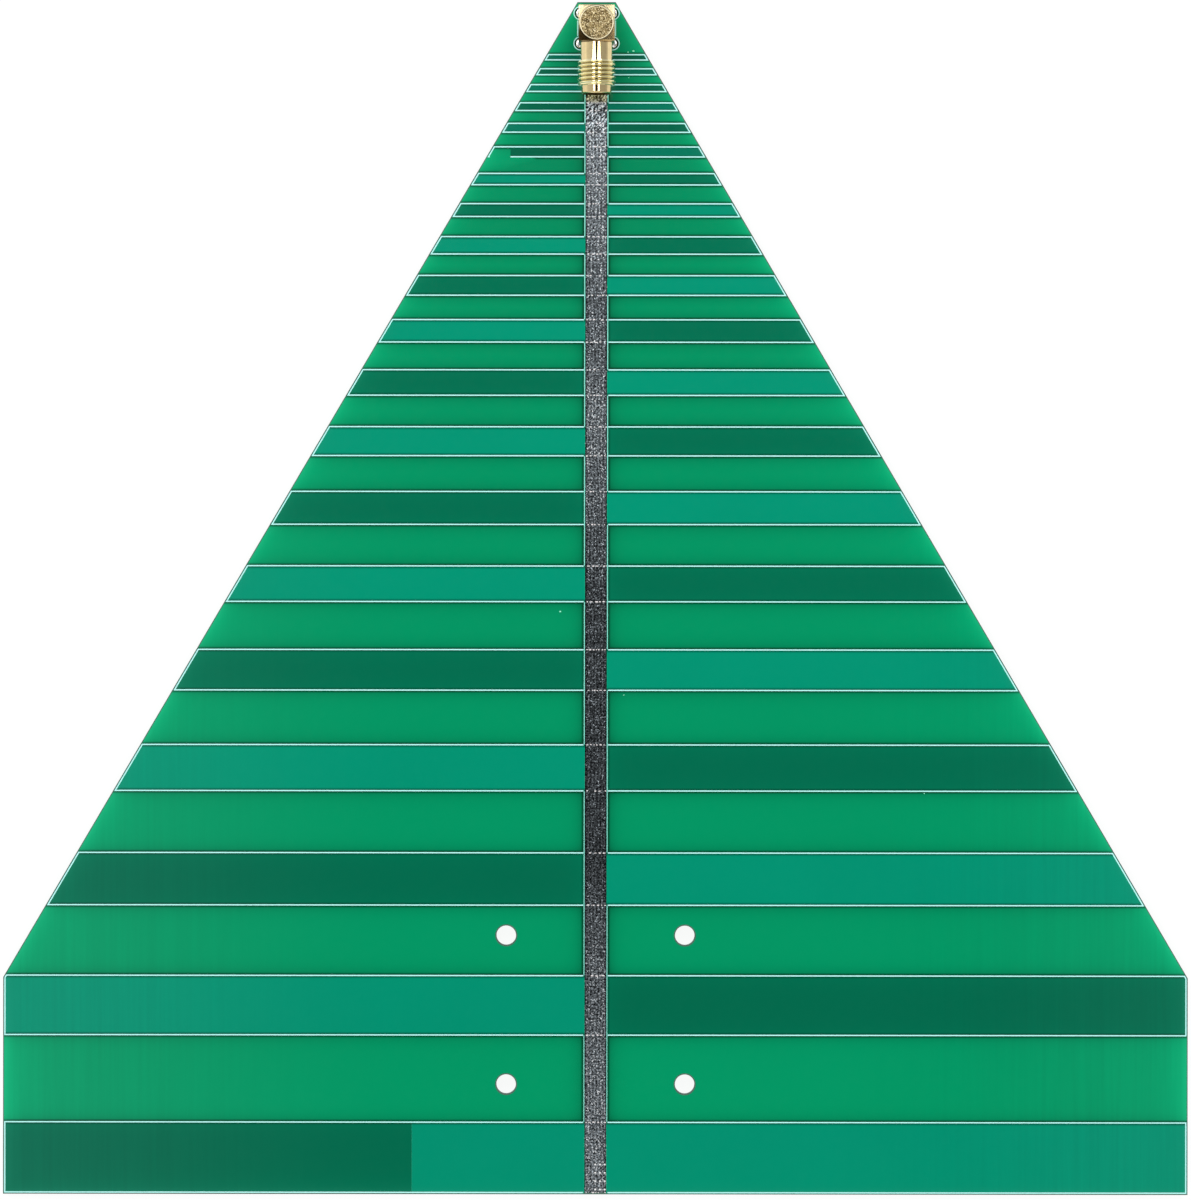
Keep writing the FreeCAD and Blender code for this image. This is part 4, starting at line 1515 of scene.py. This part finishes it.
    def thread(self, start: float, angle: np.ndarray, rows: int = 24) -> Patch:
        """A right-handed thread as a grid whose rows follow its turns.

        A row's phase p counts turns. Its place along the barrel is
        start + pitch x (p - angle / turn), held between the thread's two ends. The
        groove is a V between crests a fifth of the pitch wide, and it fades out
        towards both ends.

        Args:
            start: distance from the legs' centre where the thread starts.
            angle: angles round the barrel from its top towards +X.
            rows: rows of points for each turn.

        Returns:
            The open tube, with radius, angle and place as the X, Y and Z of its points.
        """
        end = start + self.thread_l
        count = math.ceil((self.thread_l / self.thread_pitch + 1) * rows) + 1
        phase = np.arange(count)[:, None] / rows
        place = start + self.thread_pitch * (phase - angle[None, :] / (2 * math.pi))
        place = np.clip(place, start, end)
        across = np.abs(phase % 1.0 - 0.5) * 2
        depth = np.clip((self.groove - across) / self.groove_flank, 0, 1) * self.thread_depth
        inside = np.minimum(place - start, end - place)
        fade = np.clip(inside / (self.run_out * self.thread_pitch), 0, 1)
        radius = self.thread_r - depth * fade - self.thread_drop * (1 - fade)
        index = np.arange(count * len(angle)).reshape(count, -1)
        back = np.maximum(np.arange(count) - rows, 0)
        after = np.hstack([index[:, 1:], index[back, :1]])
        corners = (index[:-1], after[:-1], after[1:], index[1:])
        return quad_patch(radius, np.broadcast_to(angle, radius.shape), place, corners)

    def profiles(self) -> tuple[list[Pair], list[Pair]]:
        """The barrel's profile behind its thread and ahead of it, each point as its
        distance along the barrel and its radius."""
        half = self.half_l()
        neck_end, thread_end, end = self.stations()
        soft, low_r = 0.05, self.thread_r - self.thread_drop
        edge, rim_r = end - self.nose_chamfer, self.nose_r - self.nose_chamfer
        behind = [(self.bore_r, self.spigot_r), (half, self.spigot_r), (half, self.neck_r - soft),
                  (half + soft, self.neck_r), (neck_end - 0.25, self.neck_r),
                  (neck_end - 0.02, self.neck_r + 0.02), (neck_end, low_r)]
        ahead = [(thread_end, low_r), (thread_end + 0.02, self.nose_r + soft),
                 (thread_end + 0.08, self.nose_r), (thread_end + 0.13, self.nose_r),
                 (edge - 0.08, self.nose_r), (edge - 0.03, self.nose_r),
                 (edge + 0.02, self.nose_r - 0.03), (end - 0.03, rim_r + 0.01),
                 (end, rim_r - 0.02), (end, self.mouth_r + 0.02),
                 (end - 0.02, self.mouth_r), (end - self.mouth_depth, self.mouth_r),
                 (end - self.mouth_depth, self.insulator_r), (self.bore_r, self.insulator_r),
                 (self.bore_r, self.spigot_r)]
        return behind, ahead

    def write_painted_light(self, piece: bpy.types.Object) -> None:
        """Stores how much painted shade each point of the barrel gets, deeper in the thread's
        grooves and flat over the nose, and where its gold is painted pale as a highlight.
        """
        neck_end, thread_end, _ = self.stations()
        x, y, z = mesh_points(piece).T
        reach, place = np.hypot(x, z - self.axis_z), self.centre_y - y
        on_thread = (place > neck_end) & (place < thread_end)
        on_nose = (place > thread_end + 0.1) & (reach > self.mouth_r + 0.01)
        # painted shade: the deeper in the groove, the darker; the nose is darkened flat
        depth = np.clip((self.thread_r - self.shade_from - reach)
                        / (self.shade_span * self.thread_depth), 0, 1)
        write_attribute(piece, "groove",
                        np.where(on_thread, depth, np.where(on_nose, self.nose_darkening, 0.0)))
        # painted highlight: where the gold is painted pale, over the thread
        pale = (place > neck_end - 0.2) & (place < thread_end + 0.05)
        write_attribute(piece, "thread", pale.astype(float))

    def build_barrel(self, finish: TurnedFinish) -> None:
        """The turned barrel: neck, thread, nose, mouth and bore, as one closed shell."""
        steps = self.barrel_steps
        angle = np.arange(steps) * (2 * math.pi / steps)
        parts = []
        for profile in self.profiles():
            along, radius = (np.array(column) for column in zip(*profile))
            tube = lathe(radius, along, steps)
            tube.points = np.column_stack([np.repeat(radius, steps), np.tile(angle, len(along)),
                                           np.repeat(along, steps)])
            parts.append(tube)
        parts.append(self.thread(self.stations()[0], angle))
        patch = joined(parts)
        reach, turn, place = patch.points.T
        patch.points = np.column_stack([reach * np.sin(turn), self.centre_y - place,
                                        self.axis_z + reach * np.cos(turn)])
        piece = make_object("threaded_barrel", patch, smooth=32, merge=True, turn_out=True)
        self.write_painted_light(piece)
        piece.data.materials.append(finish.material())
        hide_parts("jack_barrel")


# The studio


@dataclass(frozen=True)
class Lamp:
    """A soft rectangular lamp that looks at the board's middle."""

    name: str
    place: tuple[float, float, float]
    size: tuple[float, float]
    radiance: float

    def build(self, target: Vector) -> None:
        """Hangs the lamp; its power is pi x area x radiance."""
        data = bpy.data.lights.new(self.name, "AREA")
        data.shape = "RECTANGLE"
        data.size, data.size_y = (size * MM for size in self.size)
        data.energy = math.pi * data.size * data.size_y * self.radiance
        lamp = bpy.data.objects.new(self.name, data)
        lamp.location = Vector(self.place) * MM
        lamp.rotation_euler = (target - lamp.location).to_track_quat("-Z", "Y").to_euler()
        bpy.context.scene.collection.objects.link(lamp)


@dataclass
class Studio:
    """White floor, three soft lamps, a pale sky with a dark zenith, and the camera."""

    floor_z: float
    middle_y: float = 68.85
    subject_z: float = 1.6
    camera_height: float = 900.0
    camera_x: float = -0.07
    camera_roll: float = 0.067
    half_view: float = 100.8
    sensor: float = 36.0
    lamps: tuple[Lamp, ...] = (
        Lamp("upper_left", (-365.0, 430.0, 950.0), (330.0, 520.0), 5.0),
        Lamp("upper_right", (365.0, 430.0, 950.0), (330.0, 520.0), 4.3),
        Lamp("lower", (0.0, -560.0, 900.0), (760.0, 420.0), 3.0))
    sky_levels: tuple[Pair, ...] = (
        (0.0, 0.95), (0.35, 0.62), (0.86, 0.56), (0.955, 0.02))
    sky_slope: float = 0.30
    floor_half_w: float = 3000.0
    floor_grey: float = 0.9
    floor_light: float = 1.05
    floor_glow: float = 0.86

    def build_camera(self) -> None:
        """A camera straight above, as far away as the photograph's perspective asks."""
        data = bpy.data.cameras.new("camera")
        data.sensor_width = self.sensor
        data.lens = self.sensor / 2 * self.camera_height / self.half_view
        data.clip_start, data.clip_end = 0.01, 10.0
        camera = bpy.data.objects.new("camera", data)
        spot = Vector((self.camera_x, self.middle_y, self.subject_z + self.camera_height))
        camera.location = spot * MM
        camera.rotation_euler = (0.0, 0.0, math.radians(self.camera_roll))
        bpy.context.scene.collection.objects.link(camera)
        bpy.context.scene.camera = camera

    def build_lamps(self) -> None:
        """Hangs every lamp, aimed at the middle of the board."""
        for lamp in self.lamps:
            lamp.build(Vector((0, self.middle_y, 0)) * MM)

    def build_sky(self) -> None:
        """A pale sky with a dark zenith, a little brighter on the left; white to the camera."""
        world = bpy.data.worlds.new("sky")
        bpy.context.scene.world = world
        world.use_nodes = True
        tree = world.node_tree
        tree.nodes.clear()
        place = tree.nodes.new("ShaderNodeTexCoord")
        parts = tree.nodes.new("ShaderNodeSeparateXYZ")
        ramp = tree.nodes.new("ShaderNodeValToRGB")
        fill_ramp(ramp.color_ramp, self.sky_levels)
        dome, white = (tree.nodes.new("ShaderNodeBackground") for _ in range(2))
        fall = tree.nodes.new("ShaderNodeMath")
        path = tree.nodes.new("ShaderNodeLightPath")
        choice = tree.nodes.new("ShaderNodeMixShader")
        out = tree.nodes.new("ShaderNodeOutputWorld")
        links = tree.links
        links.new(place.outputs["Generated"], parts.inputs[0])
        links.new(parts.outputs["Z"], ramp.inputs[0])
        fall.operation = "MULTIPLY_ADD"
        fall.inputs[1].default_value = -self.sky_slope
        fall.inputs[2].default_value = 1.0
        links.new(parts.outputs["X"], fall.inputs[0])
        links.new(ramp.outputs[0], dome.inputs[0])
        links.new(fall.outputs[0], dome.inputs["Strength"])
        links.new(path.outputs["Is Camera Ray"], choice.inputs[0])
        links.new(dome.outputs[0], choice.inputs[1])
        links.new(white.outputs[0], choice.inputs[2])
        links.new(choice.outputs[0], out.inputs[0])
        white.inputs[0].default_value = (1, 1, 1, 1)

    def build_floor(self) -> None:
        """A wide white floor that glows to the camera, in reflections and under the
        object, with the object's shadow still on it. It can't be seen from below."""
        ends = (-self.floor_half_w, self.floor_half_w)
        x, y = np.meshgrid(ends, ends)
        patch = grid_patch(x, y, np.full(x.shape, self.floor_z))
        mesh = bpy.data.meshes.new("floor")
        mesh.from_pydata((patch.points * MM).tolist(), [], patch.faces)
        floor = bpy.data.objects.new("floor", mesh)
        bpy.context.scene.collection.objects.link(floor)
        material = bpy.data.materials.new("white_floor")
        material.use_nodes = True
        tree = material.node_tree
        tree.nodes.clear()
        matte = tree.nodes.new("ShaderNodeBsdfDiffuse")
        matte.inputs[0].default_value = (self.floor_grey,) * 3 + (1.0,)
        glow = tree.nodes.new("ShaderNodeEmission")
        glow.inputs["Strength"].default_value = self.floor_light
        path = tree.nodes.new("ShaderNodeLightPath")
        seen, lit = (tree.nodes.new("ShaderNodeMath") for _ in range(2))
        seen.operation = lit.operation = "MAXIMUM"
        share = tree.nodes.new("ShaderNodeMath")
        share.operation = "MULTIPLY"
        share.inputs[1].default_value = self.floor_glow
        choice = tree.nodes.new("ShaderNodeMixShader")
        clear = tree.nodes.new("ShaderNodeBsdfTransparent")
        turned = tree.nodes.new("ShaderNodeNewGeometry")
        facing = tree.nodes.new("ShaderNodeMixShader")
        out = tree.nodes.new("ShaderNodeOutputMaterial")
        links = tree.links
        links.new(path.outputs["Is Camera Ray"], seen.inputs[0])
        links.new(path.outputs["Is Glossy Ray"], seen.inputs[1])
        links.new(seen.outputs[0], lit.inputs[0])
        links.new(path.outputs["Is Diffuse Ray"], lit.inputs[1])
        links.new(lit.outputs[0], share.inputs[0])
        links.new(share.outputs[0], choice.inputs[0])
        links.new(matte.outputs[0], choice.inputs[1])
        links.new(glow.outputs[0], choice.inputs[2])
        links.new(turned.outputs["Backfacing"], facing.inputs[0])
        links.new(choice.outputs[0], facing.inputs[1])
        links.new(clear.outputs[0], facing.inputs[2])
        links.new(facing.outputs[0], out.inputs[0])
        mesh.materials.append(material)

    def build(self) -> None:
        """Sets up camera, lamps, sky and floor, and the plain view transform."""
        self.build_camera()
        self.build_lamps()
        self.build_sky()
        self.build_floor()
        bpy.context.scene.view_settings.view_transform = "Standard"


def dress(nodes: Sequence[str], material: bpy.types.Material) -> None:
    """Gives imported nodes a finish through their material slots."""
    for name in nodes:
        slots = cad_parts[name].data.materials
        slots.clear()
        slots.append(material)
        LOG.info("%s: %s", name, material.name)


def lacquer_finishes() -> dict[Tone, LacquerFinish]:
    """The lacquer's look, with its painted light, over laminate, over each face's foil and
    on the line's edges, where it is a painted highlight.
    """
    bare = LacquerFinish("lacquer_on_laminate", srgb(0, 148, 98), flank=0.42, rim_gain=0.42,
                         far_rim_gain=0.16, edge_gain=-0.40, edge_reach=0.95,
                         line_gain=-0.43, line_reach=1.05, narrow_gain=0.2)
    near = LacquerFinish("lacquer_on_near_foil", srgb(0, 142, 110), flank=0.50, tip_gain=0.10,
                         cloud=0.12, line_gain=0.5, line_flank=False)
    far = LacquerFinish("lacquer_over_far_foil", srgb(0, 103, 74), rim_gain=0.25, rim_reach=1.5,
                        far_rim_gain=0.05, edge_gain=0.12, edge_reach=1.2, line_gain=0.10,
                        line_reach=1.5, flank=0.6, tip_gain=0.13, cloud=0.06)
    # painted highlight: the pale lacquer along the line's edges, paler towards the tip
    lip = LacquerFinish("lacquer_lip", srgb(116, 202, 184), flank=1.0, tip_gain=0.35,
                        roughness=0.35, line_flank=False)
    return {Tone.BARE: bare, Tone.NEAR_FOIL: near, Tone.FAR_FOIL: far, Tone.LIP: lip}


def build_board(pattern: Pattern) -> None:
    """Lacquer of both faces, tin, print, foil and laminate.

    Args:
        pattern: outline and law of the board.
    """
    core_low, core_high = box_mm("fr4_core")
    corners = [(sx, sy) for sx in (-1, 1) for sy in (-1, 1)]
    spots = tuple((sx * HOLE_SPOT[0], sy * HOLE_SPOT[1]) for sx, sy in corners)
    leg_x, leg_y = LEG_SPOT
    pad_r = half_width_mm("ground_solder_tip_right")
    legs = tuple((sx * leg_x, pattern.jack_y + sy * leg_y, pad_r) for sx, sy in corners)
    feed = (0.0, pattern.jack_y, half_width_mm("feed_solder"))
    land = (leg_x, pattern.jack_y - leg_y, pattern.jack_y + leg_y, 0.0)
    neck = (0.0, pattern.jack_y - leg_y - 2 * pad_r, 0.0, BACK_NECK)
    finishes = lacquer_finishes()
    front = Lacquer(Face.FRONT, pattern, float(core_high[2]), hole_spots=spots, pads=legs,
                    land=land)
    back = Lacquer(Face.BACK, pattern, float(core_low[2]), hole_spots=spots,
                   pads=legs + (feed,), land=neck)
    front.build(finishes)
    back.build(finishes)
    dress(["front_silkscreen"], InkFinish().material())
    torn = TornPrint(pattern, float(box_mm("front_tin")[1][2]))
    torn.build(InkFinish("torn_print", srgb(232, 226, 226)),
               InkFinish("stray_print", srgb(150, 250, 215)), front.core_z + front.film)
    dress(["front_tin", "termination_vias"], TinFinish().material())
    plain_tin = TinFinish("plain_tin", mouth_y=pattern.tip_y, streaks_from=pattern.tip_y)
    dress(["back_tin"], plain_tin.material())
    copper = MetalFinish("copper_foil", srgb(214, 143, 110), 0.35)
    dress(["front_copper", "back_copper"], copper.material())
    plated = MetalFinish("tinned_wall", srgb(176, 180, 182), 0.3)
    dress(["leg_hole_platings", "feed_hole_plating"], plated.material())
    dress(["fr4_core"], LaminateFinish().material())


def build_jack(pattern: Pattern) -> None:
    """The jack's turned and cast pieces, contacts, insulators and solder."""
    low, high = box_mm("jack_body")
    barrel_low, barrel_high = box_mm("jack_barrel")
    block_low = low.copy()
    block_low[2] = float(box_mm("front_tin")[1][2])
    jack = Jack(centre_y=pattern.jack_y, block_low=block_low, block_high=high,
                axis_z=float(barrel_low[2] + barrel_high[2]) / 2, legs_low_z=float(low[2]),
                cap_top_z=float(box_mm("jack_cap")[1][2]))
    jack.build_block(BlockFinish(pattern.jack_y, jack.cap_r))
    # painted highlight: the cap's rim gets a near-white gold
    jack.build_cap(MetalFinish("cap_rim_gold", srgb(255, 242, 206), 0.30, 0.2, 2.0), CastFinish())
    jack.build_barrel(TurnedFinish())
    contact = MetalFinish("contact_gold", srgb(240, 204, 120), 0.2)
    dress(["centre_contact", "feed_pin"], contact.material())
    dress(["barrel_insulator", "base_insulator"], PlasticFinish().material())
    solder = MetalFinish("bright_solder", srgb(205, 208, 210), 0.22, 0.15, 2.5, 0.006)
    jack.build_front_solder(float(block_low[2]), half_width_mm("ground_solder_tip_right"),
                            MetalFinish("front_solder", srgb(236, 238, 240), 0.18, 0.1, 2.0))
    joints = [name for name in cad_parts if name.startswith("ground_solder")]
    dress(sorted(joints) + ["feed_solder", "contact_solder"], solder.material())


def main() -> None:
    """Builds the studio, the board and the jack, and reports each piece."""
    logging.basicConfig(level=logging.INFO, format="%(name)s: %(message)s")
    core_low, core_high = box_mm("fr4_core")
    block_low, block_high = box_mm("jack_body")
    pattern = Pattern(board_w=float(core_high[0] - core_low[0]), tail_y=float(core_low[1]),
                      tip_y=float(core_high[1]),
                      jack_y=float(block_low[1] + block_high[1]) / 2)
    Studio(floor_z=float(block_low[2]) - 0.02).build()
    build_board(pattern)
    build_jack(pattern)


if __name__ == "__main__":
    main()
